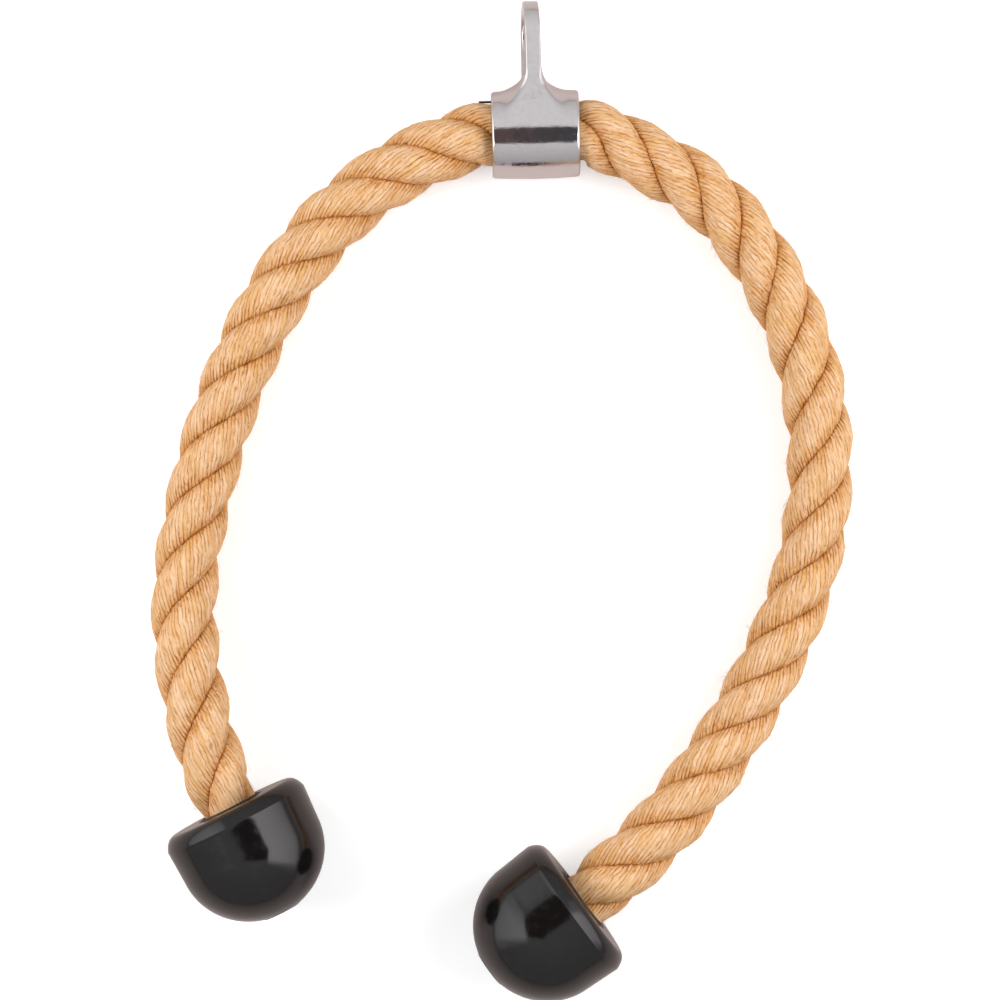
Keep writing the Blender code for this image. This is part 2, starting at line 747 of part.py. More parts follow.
def main():
    """Builds the whole attachment."""
    clear_scene()
    pieces = new_collection("rope_attachment")
    cutters = new_collection("cutters")
    finishes = {
        "chrome": finish_of("chrome", (0.78, 0.77, 0.78), 0.12, 1.0),
        "fibre": finish_of("rope_fibre", (0.72, 0.42, 0.19), 0.85),
        "gloss_black": finish_of("gloss_black", (0.012, 0.012, 0.014), 0.16),
        "tape": finish_of("black_tape", (0.02, 0.02, 0.02), 0.6),
        "steel": finish_of("zinc_steel", (0.6, 0.6, 0.58), 0.35, 1.0),
        "wedge": finish_of("wedge_plastic", (0.1, 0.1, 0.1), 0.5),
    }
    make_eye_sleeve(pieces, cutters, finishes["chrome"])
    make_sleeve_tape(pieces, cutters, finishes["tape"])
    make_grub_screw(pieces, finishes["steel"])
    make_rope_bight(pieces, finishes["fibre"])
    for arm in (LEFT, RIGHT):
        make_arm(arm, pieces, finishes)


main()
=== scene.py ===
"""The looks of a triceps rope attachment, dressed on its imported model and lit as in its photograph.

X runs to the photograph's right, Y towards the eye and Z up to the camera, in metres.
"""

from __future__ import annotations

import logging
import math
from collections.abc import Callable, Sequence
from dataclasses import asdict, dataclass, field
from enum import Enum
from types import SimpleNamespace
from typing import ClassVar

import bpy
import numpy as np
from mathutils import Matrix, Vector


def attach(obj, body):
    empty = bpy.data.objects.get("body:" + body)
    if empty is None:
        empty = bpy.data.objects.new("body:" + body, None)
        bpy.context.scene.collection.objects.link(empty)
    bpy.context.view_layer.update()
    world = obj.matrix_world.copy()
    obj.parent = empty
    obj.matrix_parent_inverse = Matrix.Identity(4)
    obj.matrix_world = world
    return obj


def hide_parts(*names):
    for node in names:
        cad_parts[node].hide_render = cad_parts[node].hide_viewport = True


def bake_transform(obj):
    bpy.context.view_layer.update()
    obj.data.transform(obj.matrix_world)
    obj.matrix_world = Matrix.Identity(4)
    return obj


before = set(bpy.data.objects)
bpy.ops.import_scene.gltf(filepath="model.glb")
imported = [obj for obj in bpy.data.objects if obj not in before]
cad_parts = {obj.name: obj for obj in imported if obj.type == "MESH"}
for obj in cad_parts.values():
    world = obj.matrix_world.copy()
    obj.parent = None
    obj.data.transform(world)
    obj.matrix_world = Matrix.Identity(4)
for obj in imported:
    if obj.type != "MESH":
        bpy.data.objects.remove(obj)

LOG = logging.getLogger("rope_attachment")
MM = 0.001
TURN = 2.0 * math.pi
UP = np.array([0.0, 0.0, 1.0])
Pair = tuple[float, float]
Triple = tuple[float, float, float]
Four = tuple[float, float, float, float]
Colour = Triple
WHITE: Colour = (1.0, 1.0, 1.0)


class Side(Enum):
    """The two arms of the rope, as the photograph shows them."""

    LEFT = "left"
    RIGHT = "right"


class Half(Enum):
    """The two lengths that an arm of rope is modelled in."""

    UPPER = "upper"
    LOWER = "lower"


def operator(operation: str, swapped: bool = False) -> Callable[[Wire, Value], Wire]:
    """Makes a Python operator of a Math node.

    Args:
        operation: The node's operation.
        swapped: Whether the wire comes second in it.

    Returns:
        The method of a wire that adds the node.
    """

    def apply(wire: Wire, other: Value) -> Wire:
        """Adds the node, and gives its output."""
        return wire.graph.math(operation, *((other, wire) if swapped else (wire, other)))

    return apply


class Wire:
    """One output socket of a node, which takes part in Python expressions."""

    __add__ = __radd__ = operator("ADD")
    __sub__ = operator("SUBTRACT")
    __rsub__ = operator("SUBTRACT", swapped=True)
    __mul__ = __rmul__ = operator("MULTIPLY")
    __truediv__ = operator("DIVIDE")
    __rtruediv__ = operator("DIVIDE", swapped=True)
    __pow__ = operator("POWER")

    def __init__(self, graph: Graph, socket: bpy.types.NodeSocket) -> None:
        """Wraps a socket.

        Args:
            graph: The graph that the socket's node is in.
            socket: The output socket.
        """
        self.graph = graph
        self.socket = socket

    def __neg__(self) -> Wire:
        """Zero minus self."""
        return 0.0 - self

    def __abs__(self) -> Wire:
        """Self without its sign."""
        return self.graph.math("ABSOLUTE", self)

    def output(self, name: str) -> Wire:
        """Another output of the same node, by its name."""
        return Wire(self.graph, self.socket.node.outputs[name])


Value = Wire | float | int


class Graph:
    """A node tree, of a material, the world or a Geometry Nodes modifier, that is filled from expressions."""

    def __init__(self, tree: bpy.types.NodeTree) -> None:
        """Wraps a node tree.

        Args:
            tree: The tree that nodes are added to.
        """
        self.tree = tree

    def add(
        self,
        kind: str,
        settings: dict[str, object] | None = None,
        sockets: dict[str | int, object] | None = None,
        output: str | int = 0,
    ) -> Wire:
        """Adds one node.

        Args:
            kind: The node's type.
            settings: Its properties, set before its sockets.
            sockets: Wires to link and values to set, by the sockets' names or numbers.
            output: The output that the caller goes on with.

        Returns:
            The chosen output.
        """
        node = self.tree.nodes.new(kind)
        for name, value in (settings or {}).items():
            setattr(node, name, value)
        for key, value in (sockets or {}).items():
            if isinstance(value, Wire):
                self.tree.links.new(value.socket, node.inputs[key])
            else:
                node.inputs[key].default_value = value
        chosen = node.outputs[output] if len(node.outputs) else node.inputs[0]
        return Wire(self, chosen)

    def math(self, operation: str, *values: Value) -> Wire:
        """A Math node of some operation on wires or numbers."""
        return self.add("ShaderNodeMath", {"operation": operation}, dict(enumerate(values)))

    def vector(self, operation: str, *values: object, output: int = 0) -> Wire:
        """A Vector Math node of some operation."""
        return self.add("ShaderNodeVectorMath", {"operation": operation}, dict(enumerate(values)), output)

    def scaled(self, vector: Wire, factor: Value) -> Wire:
        """A vector times a number."""
        return self.add("ShaderNodeVectorMath", {"operation": "SCALE"}, {0: vector, "Scale": factor})

    def joined(self, x: Value, y: Value, z: Value = 0.0) -> Wire:
        """A vector from three numbers."""
        return self.add("ShaderNodeCombineXYZ", None, {0: x, 1: y, 2: z})

    def positive(self, value: Wire) -> Wire:
        """A number, or nought where it is less."""
        return self.math("MAXIMUM", value, 0.0)

    def hypotenuse(self, first: Wire, second: Wire) -> Wire:
        """How long a step is that has two parts at a right angle."""
        return self.math("SQRT", first * first + second * second)

    def parted(self, vector: Wire) -> tuple[Wire, Wire, Wire]:
        """The three numbers of a vector."""
        x = self.add("ShaderNodeSeparateXYZ", None, {0: vector})
        return x, x.output("Y"), x.output("Z")

    def smooth_step(
        self, value: Value, low: float, high: float, start: Value = 0.0, end: Value = 1.0
    ) -> Wire:
        """Goes smoothly from start to end while value goes from low to high."""
        sockets = {0: value, 1: low, 2: high, 3: start, 4: end}
        return self.add("ShaderNodeMapRange", {"interpolation_type": "SMOOTHSTEP"}, sockets)

    def noise(self, place: Wire, scale: float = 1.0, detail: float = 2.0, roughness: float = 0.5) -> Wire:
        """Smooth noise from 0 to 1."""
        sockets = {"Vector": place, "Scale": scale, "Detail": detail, "Roughness": roughness}
        return self.add("ShaderNodeTexNoise", None, sockets)

    def blend(self, factor: Value, first: Wire | Colour, second: Wire | Colour) -> Wire:
        """Mixes two colours."""
        sockets = {0: factor, 6: self.tone(first), 7: self.tone(second)}
        return self.add("ShaderNodeMix", {"data_type": "RGBA"}, sockets, 2)

    def light_path(self) -> tuple[Wire, Wire]:
        """Whether the camera sees a ray, directly or through glass, and whether a mirror does."""
        rays = self.add("ShaderNodeLightPath")
        seen = self.math("MAXIMUM", rays.output("Is Camera Ray"), rays.output("Is Transmission Ray"))
        return seen, rays.output("Is Glossy Ray")

    @staticmethod
    def tone(colour: Wire | Colour) -> Wire | Four:
        """What a colour's socket takes: a wire as it is, or three numbers with an alpha added."""
        return colour if isinstance(colour, Wire) else (*colour, 1.0)

    def ramp(self, value: Value, stops: Sequence[tuple[float, Colour]]) -> Wire:
        """Reads a colour ramp.

        Args:
            value: Where it is read, from 0 to 1.
            stops: Its places and colours, two or more.

        Returns:
            The colour.
        """
        colour = self.add("ShaderNodeValToRGB", None, {0: value})
        elements = colour.socket.node.color_ramp.elements
        while len(elements) < len(stops):
            elements.new(1.0)
        for element, (place, tone) in zip(elements, stops):
            element.position = place
            element.color = (*tone, 1.0)
        return colour


def put(name: str, data: bpy.types.ID) -> bpy.types.Object:
    """Puts a mesh, a light or a camera in the scene."""
    item = bpy.data.objects.new(name, data)
    bpy.context.scene.collection.objects.link(item)
    return item


def read_each(
    items: bpy.types.bpy_prop_collection, name: str, width: int = 1, kind: type = np.float32
) -> np.ndarray:
    """Reads one property of each of a mesh's items.

    Args:
        items: The mesh's points, faces or other items.
        name: The property.
        width: How many numbers it has.
        kind: The type of these numbers.

    Returns:
        A row of numbers for each item, or a single number for each where the width is 1.
    """
    values = np.zeros(len(items) * width, kind)
    items.foreach_get(name, values)
    return values.reshape(-1, width) if width > 1 else values


class ModelTree(Graph):
    """A Geometry Nodes tree with named inputs, and what runs it on an object.

    JOINED is how far apart two points are, in millimetres, when they are taken as one.
    """

    JOINED: ClassVar[float] = 0.002

    def __init__(self, name: str) -> None:
        """Starts a tree that takes a geometry and gives one back.

        Args:
            name: The tree's name.
        """
        super().__init__(bpy.data.node_groups.new(name, "GeometryNodeTree"))
        self.tree.interface.new_socket("Geometry", in_out="INPUT", socket_type="NodeSocketGeometry")
        self.tree.interface.new_socket("Geometry", in_out="OUTPUT", socket_type="NodeSocketGeometry")
        self.given = self.tree.nodes.new("NodeGroupInput")

    def input(self, name: str, kind: str = "Float") -> Wire:
        """Adds a named input of some kind and gives its wire."""
        self.tree.interface.new_socket(name, in_out="INPUT", socket_type=f"NodeSocket{kind}")
        return Wire(self, self.given.outputs[name])

    def geometry(self) -> Wire:
        """The geometry that the tree is given."""
        return Wire(self, self.given.outputs["Geometry"])

    def named(self, name: str, kind: str = "FLOAT") -> Wire:
        """An attribute of the geometry, by its name."""
        return self.add("GeometryNodeInputNamedAttribute", {"data_type": kind}, {"Name": name})

    def store(
        self, geometry: Wire, name: str, value: Wire, kind: str = "FLOAT", domain: str = "POINT"
    ) -> Wire:
        """Keeps a value as a named attribute."""
        settings, sockets = {"data_type": kind, "domain": domain}, {0: geometry, "Name": name, "Value": value}
        return self.add("GeometryNodeStoreNamedAttribute", settings, sockets)

    def point_count(self, geometry: Wire) -> Wire:
        """How many points a geometry has."""
        settings, sockets = {"component": "MESH"}, {0: geometry}
        return self.add("GeometryNodeAttributeDomainSize", settings, sockets, "Point Count")

    def at_point(self, source: Wire, value: Wire, number: Wire, kind: str = "FLOAT") -> Wire:
        """A value at one point of a geometry, by the point's number."""
        settings = {"data_type": kind, "domain": "POINT", "clamp": True}
        return self.add("GeometryNodeSampleIndex", settings, {0: source, 1: value, 2: number})

    def sheet(self, steps: Wire, rows: Wire) -> Wire:
        """A grid that keeps the numbers of its columns and rows.

        Args:
            steps: How many steps it has along X, so it has one more column of points.
            rows: How many rows of points it has.

        Returns:
            The grid, with the attributes "column" and "row".
        """
        sockets = {"Size X": steps, "Size Y": rows - 1, 2: steps + 1, 3: rows}
        grid = self.add("GeometryNodeMeshGrid", None, sockets)
        x, y, _ = self.parted(self.add("GeometryNodeInputPosition"))
        grid = self.store(grid, "column", self.math("ROUND", x + steps / 2.0))
        return self.store(grid, "row", self.math("ROUND", y + (rows - 1) / 2.0))

    def moved(self, geometry: Wire, place: Wire) -> Wire:
        """Puts each point in its place, and joins those that then coincide."""
        moved = self.add("GeometryNodeSetPosition", None, {0: geometry, "Position": place})
        return self.add("GeometryNodeMergeByDistance", None, {0: moved, "Distance": self.JOINED * MM})

    def close(self, geometry: Wire, material: Wire) -> None:
        """Ends the tree: makes instances real, sets the material and gives the result out."""
        real = self.add("GeometryNodeRealizeInstances", None, {0: geometry})
        dressed = self.add("GeometryNodeSetMaterial", None, {0: real, "Material": material})
        self.add("NodeGroupOutput", None, {0: dressed})

    def run(self, name: str, source: bpy.types.Mesh, values: dict[str, object]) -> bpy.types.Object:
        """Runs the tree on a mesh and leaves a plain mesh object.

        Args:
            name: The name of the piece.
            source: The mesh that the tree is given.
            values: The value of each named input.

        Returns:
            The new piece, in the scene.
        """
        piece = put(name, source)
        modifier = piece.modifiers.new("shape", "NODES")
        modifier.node_group = self.tree
        for item in self.tree.interface.items_tree:
            if item.in_out == "INPUT" and item.name in values:
                modifier[item.identifier] = values[item.name]
        bpy.context.view_layer.update()
        shaped = piece.evaluated_get(bpy.context.evaluated_depsgraph_get())
        mesh = bpy.data.meshes.new_from_object(shaped)
        piece.modifiers.clear()
        piece.data = mesh
        mesh.name = name
        bpy.data.meshes.remove(source)
        return piece


class Dress(Graph):
    """The node tree of one material."""

    def __init__(self, name: str) -> None:
        """Starts a material with an empty tree.

        Args:
            name: The material's name.
        """
        self.material = bpy.data.materials.new(name)
        self.material.use_nodes = True
        self.material.node_tree.nodes.clear()
        super().__init__(self.material.node_tree)

    def place(self) -> Wire:
        """Where a point is on the piece."""
        return self.add("ShaderNodeTexCoord", output="Object")

    def attribute(self, name: str) -> Wire:
        """A number kept on the mesh."""
        return self.add("ShaderNodeAttribute", {"attribute_name": name}, output="Fac")

    def bump(self, height: Wire, strength: float, distance: float, normal: Wire | None = None) -> Wire:
        """Turns a height into a bent normal. The distance is how high a height of 1 stands, in metres."""
        sockets = {"Height": height, "Strength": strength, "Distance": distance}
        return self.add("ShaderNodeBump", None, sockets if normal is None else {**sockets, "Normal": normal})

    def finish(self, **sockets: Value) -> bpy.types.Material:
        """Adds the surface shader with its sockets, underscores for spaces, and gives the material."""
        named = {key.replace("_", " "): value for key, value in sockets.items()}
        return self.surface(self.add("ShaderNodeBsdfPrincipled", None, named))

    def glow(self, colour: Wire | Colour, strength: Wire) -> Wire:
        """A shader that gives light."""
        return self.add("ShaderNodeEmission", None, {"Color": self.tone(colour), "Strength": strength})

    def surface(self, shader: Wire) -> bpy.types.Material:
        """Makes a shader the material's surface, and gives the material."""
        self.add("ShaderNodeOutputMaterial", None, {"Surface": shader})
        return self.material


@dataclass(frozen=True)
class Grain:
    """How a noise runs over the strands: how wide and long its patches are, in millimetres, and how fine.

    The layer sets it apart from other noises, or yarn from yarn where it is read with the yarn's number.
    """

    width: float
    length: float
    detail: float = 2.0
    roughness: float = 0.5
    layer: float = 0.0

    def read(self, dress: Dress, width: Wire, along: Wire, yarn: Value = 1.0) -> Wire:
        """The noise at a place round and along a strand, in millimetres."""
        place = dress.joined(width / self.width, along / self.length, yarn * self.layer)
        return dress.noise(place, 1.0, self.detail, self.roughness)


@dataclass(frozen=True)
class RopeFibre:
    """Natural fibre laid in yarns and strands: its colours, its grain and how much of each shows.

    A range holds two values of a noise or a depth and, where it has four, the strengths at these two. The
    strength of the painted shade on the flanks by the grooves and of the gaps starts from one number, and a
    noise that makes that painted shade uneven, or the flank's painted shade, adds up to the other. By the
    grooves the colour darkens as painted shade: the flanks towards the deep colour, the pits and the groove
    bottoms to the shade colour.
    Sizes are in millimetres.
    """

    yarns: int
    pale: Colour = (0.90, 0.622, 0.408)
    light: Colour = (0.83, 0.518, 0.284)
    middle: Colour = (0.75, 0.412, 0.182)
    # The ramp's darkest tone, and the colour of the painted shade on the flanks.
    deep: Colour = (0.66, 0.295, 0.074)
    golden: Colour = (0.80, 0.460, 0.165)
    gap: Colour = (0.47, 0.170, 0.022)
    # The colour of the painted shade at the groove bottoms and in the pits.
    shade: Colour = (0.50, 0.178, 0.020)
    stain: Colour = (0.48, 0.180, 0.090)
    tones: Four = (0.38, 0.47, 0.56, 0.66)
    girth_length: float = 57.0
    map_length: float = 50.0
    bends: Grain = Grain(3.0, 7.0)
    bend: float = 1.6
    fibres: Grain = Grain(0.5, 5.0, 3.0, 0.65, layer=3.7)
    plies: Grain = Grain(0.8, 3.0, layer=1.9)
    ply_lead: float = 2.2
    bands: Grain = Grain(2.2, 14.0, layer=1.3)
    patches: Grain = Grain(3.4, 26.0, 3.0, 0.55, layer=3.0)
    breaks: Grain = Grain(1.0, 6.5, 3.0, 0.65, layer=1.0)
    break_share: float = 1.1
    # Dark pits between the yarns by the grooves, painted shade.
    pit_shade: Grain = Grain(1.5, 2.6, 2.0, 0.6, layer=0.7)
    # A noise that makes the painted shade on the flanks and in the grooves uneven.
    shade_unevenness: Grain = Grain(5.0, 6.5, 2.0, 0.6, layer=9.0)
    golden_range: Four = (0.30, 0.52, 0.55, 0.0)
    stain_range: Four = (0.62, 0.78, 0.0, 0.5)
    # Painted shade on the strands' flanks, darkening them towards the grooves.
    flank_shade_range: Pair = (0.06, 0.62)
    flank_shade_strength: Pair = (0.15, 0.5)
    edge_range: Pair = (0.58, 0.96)
    break_range: Pair = (0.38, 0.54)
    gap_strength: Pair = (0.62, 0.2)
    pit_shade_range: Four = (0.52, 0.68, 0.0, 0.75)
    # Painted shade at the bottoms of the grooves.
    groove_shade_range: Four = (0.62, 0.95, 0.0, 0.9)
    shade_unevenness_range: Four = (0.36, 0.60, 0.15, 1.0)
    rough_range: Four = (0.3, 0.7, 0.7, 0.9)
    tone_shares: Four = (0.5, 0.3, 0.2, 0.1)
    bump_shares: Triple = (0.5, 0.25, 0.5)
    bump_height: float = 0.35
    specular: float = 0.12

    def build(self) -> bpy.types.Material:
        """Makes the material. It reads the strands' own map, which runs round them and along them."""
        dress = Dress("rope_fibre")
        around, along, _ = dress.parted(dress.add("ShaderNodeUVMap", {"uv_map": "strand_map"}, output="UV"))
        along = along * self.map_length
        width = around * self.girth_length
        cells = around * self.yarns + (self.bends.read(dress, width, along) - 0.5) * self.bend
        yarn = dress.math("FLOOR", cells)
        lot = dress.add("ShaderNodeTexWhiteNoise", {"noise_dimensions": "1D"}, {"W": yarn + 0.5})
        fine = self.fibres.read(dress, width, along, yarn)
        aslant = width / self.plies.width + along / self.ply_lead
        plies = dress.noise(dress.joined(aslant, along / self.plies.length, yarn * self.plies.layer))
        bands = self.bands.read(dress, width, along, yarn)
        of_fine, of_plies, of_bands, of_lot = self.tone_shares
        tone = fine * of_fine + plies * of_plies + bands * of_bands + lot * of_lot
        colour = dress.ramp(tone, list(zip(self.tones, (self.deep, self.middle, self.light, self.pale))))

        depth = dress.attribute("groove")
        # Painted shade: the strands' flanks darken towards the grooves, by the groove's depth.
        flank = dress.smooth_step(depth, *self.flank_shade_range)
        breaks = self.breaks.read(dress, cells * self.break_share, along)
        edge = abs(cells - yarn - 0.5) * 2.0
        gaps = dress.smooth_step(edge, *self.edge_range) * dress.smooth_step(breaks, *self.break_range)
        patches = self.patches.read(dress, width, along)
        # Painted shade in the pits between the yarns, only by the grooves.
        pit_shade = self.pit_shade.read(dress, width, along, yarn)
        # Painted shade: the groove bottoms take the shade colour, unevenly along a noise.
        shade_unevenness = self.shade_unevenness.read(dress, width, along)
        groove_shade = dress.smooth_step(depth, *self.groove_shade_range) * dress.smooth_step(shade_unevenness, *self.shade_unevenness_range)
        # The golden and stain patches are the fibre's own colour. The deep flank layer, the extra darkness of
        # the gaps by the grooves, the pits and the groove bottoms are painted shade.
        layers = (
            (dress.smooth_step(patches, *self.golden_range), self.golden),
            (dress.smooth_step(patches, *self.stain_range), self.stain),
            (flank * (self.flank_shade_strength[0] + shade_unevenness * self.flank_shade_strength[1]), self.deep),
            (gaps * (self.gap_strength[0] + flank * self.gap_strength[1]), self.gap),
            (dress.smooth_step(pit_shade, *self.pit_shade_range) * flank, self.shade),
            (groove_shade, self.shade),
        )
        for strength, layer in layers:
            colour = dress.blend(strength, colour, layer)
        of_fine, of_plies, of_yarns = self.bump_shares
        height = fine * of_fine + plies * of_plies + (1.0 - gaps) * of_yarns
        return dress.finish(
            Base_Color=colour,
            Roughness=dress.smooth_step(fine, *self.rough_range),
            Normal=dress.bump(height, 1.0, self.bump_height * MM),
            Specular_IOR_Level=self.specular,
        )


@dataclass(frozen=True)
class Bumps:
    """A noise over a hard surface, by its scale to the metre, and its bumps, by their height in metres."""

    scale: float
    detail: float = 3.0
    roughness: float = 0.6
    strength: float = 0.0
    height: float = 0.0

    def read(self, dress: Dress, place: Wire) -> Wire:
        """The noise at a place."""
        return dress.noise(place, self.scale, self.detail, self.roughness)


@dataclass(frozen=True)
class HardFinish:
    """A metal or a plastic, with a cloudy colour and shine and with fine bumps.

    The cloud's noise leads from the first colour to the second, all the way or within fade, and within
    dulling it leads from the first roughness to the second. Each set of bumps lies on the one before.
    """

    name: str
    colours: tuple[Colour, Colour]
    roughness: Pair
    cloud: Bumps
    bumps: tuple[Bumps, ...]
    fade: Pair | None = None
    dulling: Pair = (0.3, 0.7)
    metallic: float = 0.0
    specular: float = 0.5

    def build(self) -> bpy.types.Material:
        """Makes the material."""
        dress = Dress(self.name)
        place = dress.place()
        cloud = self.cloud.read(dress, place)
        normal = None
        for bumps in self.bumps:
            normal = dress.bump(bumps.read(dress, place), bumps.strength, bumps.height, normal)
        share = dress.smooth_step(cloud, *self.fade) if self.fade else cloud
        return dress.finish(
            Base_Color=dress.blend(share, *self.colours),
            Metallic=self.metallic,
            Roughness=dress.smooth_step(cloud, *self.dulling, *self.roughness),
            Normal=normal,
            Specular_IOR_Level=self.specular,
        )


CHROME = HardFinish(
    name="polished_chrome",
    colours=((0.66, 0.64, 0.65), (0.60, 0.58, 0.585)),
    roughness=(0.09, 0.17),
    cloud=Bumps(420.0),
    bumps=(Bumps(160.0, 4.0, 0.6, 0.3, 0.0004), Bumps(950.0, 3.0, 0.6, 0.25, 0.00012)),
    dulling=(0.35, 0.75),
    metallic=1.0,
)
BLACK_MOULDING = HardFinish(
    name="black_moulding",
    colours=((0.0040, 0.0034, 0.0034), (0.0095, 0.0085, 0.0085)),
    roughness=(0.12, 0.20),
    cloud=Bumps(240.0, 4.0),
    bumps=(Bumps(55.0, 2.0, 0.5, 0.25, 0.0003), Bumps(1900.0, 3.0, 0.6, 0.05, 0.00006)),
    fade=(0.5, 0.8),
    dulling=(0.35, 0.8),
    specular=0.44,
)
BLACK_TAPE = HardFinish(
    name="black_tape",
    colours=((0.016, 0.016, 0.017), (0.05, 0.048, 0.046)),
    roughness=(0.5, 0.72),
    cloud=Bumps(300.0),
    bumps=(Bumps(2400.0, 2.0, 0.5, 0.4, 0.0001),),
    fade=(0.45, 0.8),
)
ZINC_STEEL = HardFinish(
    name="zinc_steel",
    colours=((0.62, 0.62, 0.60), (0.48, 0.48, 0.46)),
    roughness=(0.26, 0.42),
    cloud=Bumps(700.0),
    bumps=(Bumps(700.0, strength=0.2, height=0.0001),),
    metallic=1.0,
)
GREY_MOULDING = HardFinish(
    name="grey_moulding",
    colours=((0.10, 0.10, 0.10), (0.13, 0.13, 0.13)),
    roughness=(0.45, 0.6),
    cloud=Bumps(1500.0),
    bumps=(Bumps(1500.0, strength=0.2, height=0.0001),),
)


@dataclass(frozen=True)
class Finishes:
    """The built material of each finish."""

    rope: bpy.types.Material
    chrome: bpy.types.Material
    moulding: bpy.types.Material
    tape: bpy.types.Material
    steel: bpy.types.Material
    wedge: bpy.types.Material


def smooth_curve(
    knots: np.ndarray, values: np.ndarray, slopes: tuple[np.ndarray, np.ndarray], at: np.ndarray
) -> np.ndarray:
    """Reads a cubic spline through some points, with its two end slopes given.

    Args:
        knots: The place of each point along the spline.
        values: The points.
        slopes: The slope at the first point and at the last one.
        at: The places to read.

    Returns:
        The spline's points at those places.
    """
    count = len(knots)
    gaps = np.diff(knots)
    steps = np.diff(values, axis=0) / gaps[:, None]
    system = np.zeros((count, count))
    right = np.zeros((count, values.shape[1]))
    system[0, :2] = 2.0 * gaps[0], gaps[0]
    right[0] = 6.0 * (steps[0] - slopes[0])
    for i in range(1, count - 1):
        system[i, i - 1 : i + 2] = gaps[i - 1], 2.0 * (gaps[i - 1] + gaps[i]), gaps[i]
        right[i] = 6.0 * (steps[i] - steps[i - 1])
    system[-1, -2:] = gaps[-1], 2.0 * gaps[-1]
    right[-1] = 6.0 * (slopes[1] - steps[-1])
    bends = np.linalg.solve(system, right)
    part = np.clip(np.searchsorted(knots, at) - 1, 0, count - 2)
    gap = gaps[part][:, None]
    after = (at - knots[part])[:, None]
    before = gap - after
    low, high = bends[part], bends[part + 1]
    return (
        (low * before**3 + high * after**3) / (6.0 * gap)
        + (values[part] / gap - low * gap / 6.0) * before
        + (values[part + 1] / gap - high * gap / 6.0) * after
    )


def rise(value: np.ndarray, low: float, high: float) -> np.ndarray:
    """A smooth step of numbers from 0 at low to 1 at high."""
    share = np.clip((value - low) / (high - low), 0.0, 1.0)
    return share * share * (3.0 - 2.0 * share)


@dataclass(frozen=True)
class SleeveSizes:
    """The cast sleeve's sizes and its place, in millimetres and degrees."""

    place: Triple = (68.1, 177.7, 21.6)
    turn: float = 1.4
    length: float = 42.6
    radius: float = 21.6
    crown: float = 0.7
    edge: float = 1.3
    bore: float = 17.05
    bore_edge: float = 0.8
    eye_distance: float = 47.7
    eye_radius: float = 17.3
    eye_hole: float = 9.5
    hole_edge: float = 1.0
    lug_half: float = 3.7
    lug_edge: float = 0.8
    lug_offset: float = -1.3
    lug_twist: float = 3.1
    root_radius: float = 20.7
    fillet: float = 8.6
    thin_fillet: float = 3.0
    fillet_depth: Pair = (-1.0, -11.0)
    fillet_rise: Pair = (5.0, 13.0)
    flare_start: float = 27.5
    flare_slope: float = 0.70
    flare_bend: float = 4.0
    flare_half: float = 17.0
    flare_edge: float = 6.0
    grub_radius: float = 3.3
    grub_edge: float = 0.5

    def frame(self) -> Matrix:
        """The sleeve's own frame, in metres: X along the rope, Y towards the eye and Z up."""
        return Matrix.Translation(Vector(self.place) * MM) @ Matrix.Rotation(math.radians(self.turn), 4, "Z")


@dataclass(frozen=True)
class ArmRoute:
    """Where one arm of the rope runs, as in the model's source, in millimetres and degrees."""

    side: Side
    sign: float
    knots: tuple[Triple, ...]
    face: Pair
    heading: float
    seam: float
    bends: Four = (0.0, 0.29, 0.47, 0.79)
    lead: float = 4.0
    lip: float = 0.8
    cap_radius: float = 36.4
    fineness: int = 2400

    def axis(self) -> np.ndarray:
        """The way the cap points."""
        turn = math.radians(self.heading)
        return np.array([math.cos(turn), math.sin(turn), 0.0])

    def face_middle(self) -> np.ndarray:
        """The middle of the cap's flat face."""
        return np.array([*self.face, self.cap_radius])

    def line(self, sleeve: SleeveSizes) -> tuple[np.ndarray, np.ndarray]:
        """The rope's centre from the sleeve's mouth to the cap's face.

        Args:
            sleeve: The sleeve that the arm leaves.

        Returns:
            Points of the centre, and the length up to each of them.
        """
        turn = math.radians(sleeve.turn)
        out = self.sign * np.array([math.cos(turn), math.sin(turn), 0.0])
        mouth = np.array(sleeve.place) + out * sleeve.length / 2.0
        last = self.face_middle() - self.axis() * self.lip
        points = np.array([mouth, mouth + out * self.lead, *self.knots, last])
        places = np.concatenate([[0.0], np.cumsum(np.linalg.norm(np.diff(points, axis=0), axis=1))])
        line = smooth_curve(places, points, (out, self.axis()), np.linspace(0.0, places[-1], self.fineness))
        lengths = np.concatenate([[0.0], np.cumsum(np.linalg.norm(np.diff(line, axis=0), axis=1))])
        return line, lengths


LEFT_ROUTE = ArmRoute(
    side=Side.LEFT,
    sign=-1.0,
    knots=(
        (29.5, 173.7, 20.4),
        (0.1, 160.4, 18.0),
        (-37.8, 128.9, 16.3),
        (-65.3, 88.2, 16.3),
        (-84.7, 42.4, 16.3),
        (-97.6, -5.4, 17.4),
        (-103.1, -53.9, 23.6),
        (-96.3, -102.0, 32.2),
    ),
    face=(-79.6, -149.2),
    heading=-63.5,
    seam=178.0,
)
RIGHT_ROUTE = ArmRoute(
    side=Side.RIGHT,
    sign=1.0,
    knots=(
        (107.7, 173.4, 20.4),
        (142.7, 155.2, 17.6),
        (181.2, 112.7, 16.3),
        (202.9, 58.5, 16.3),
        (206.9, -0.1, 16.3),
        (193.6, -56.8, 16.3),
        (167.5, -109.0, 20.4),
        (133.5, -155.4, 30.8),
    ),
    face=(91.0, -194.0),
    heading=-143.6,
    seam=216.0,
)


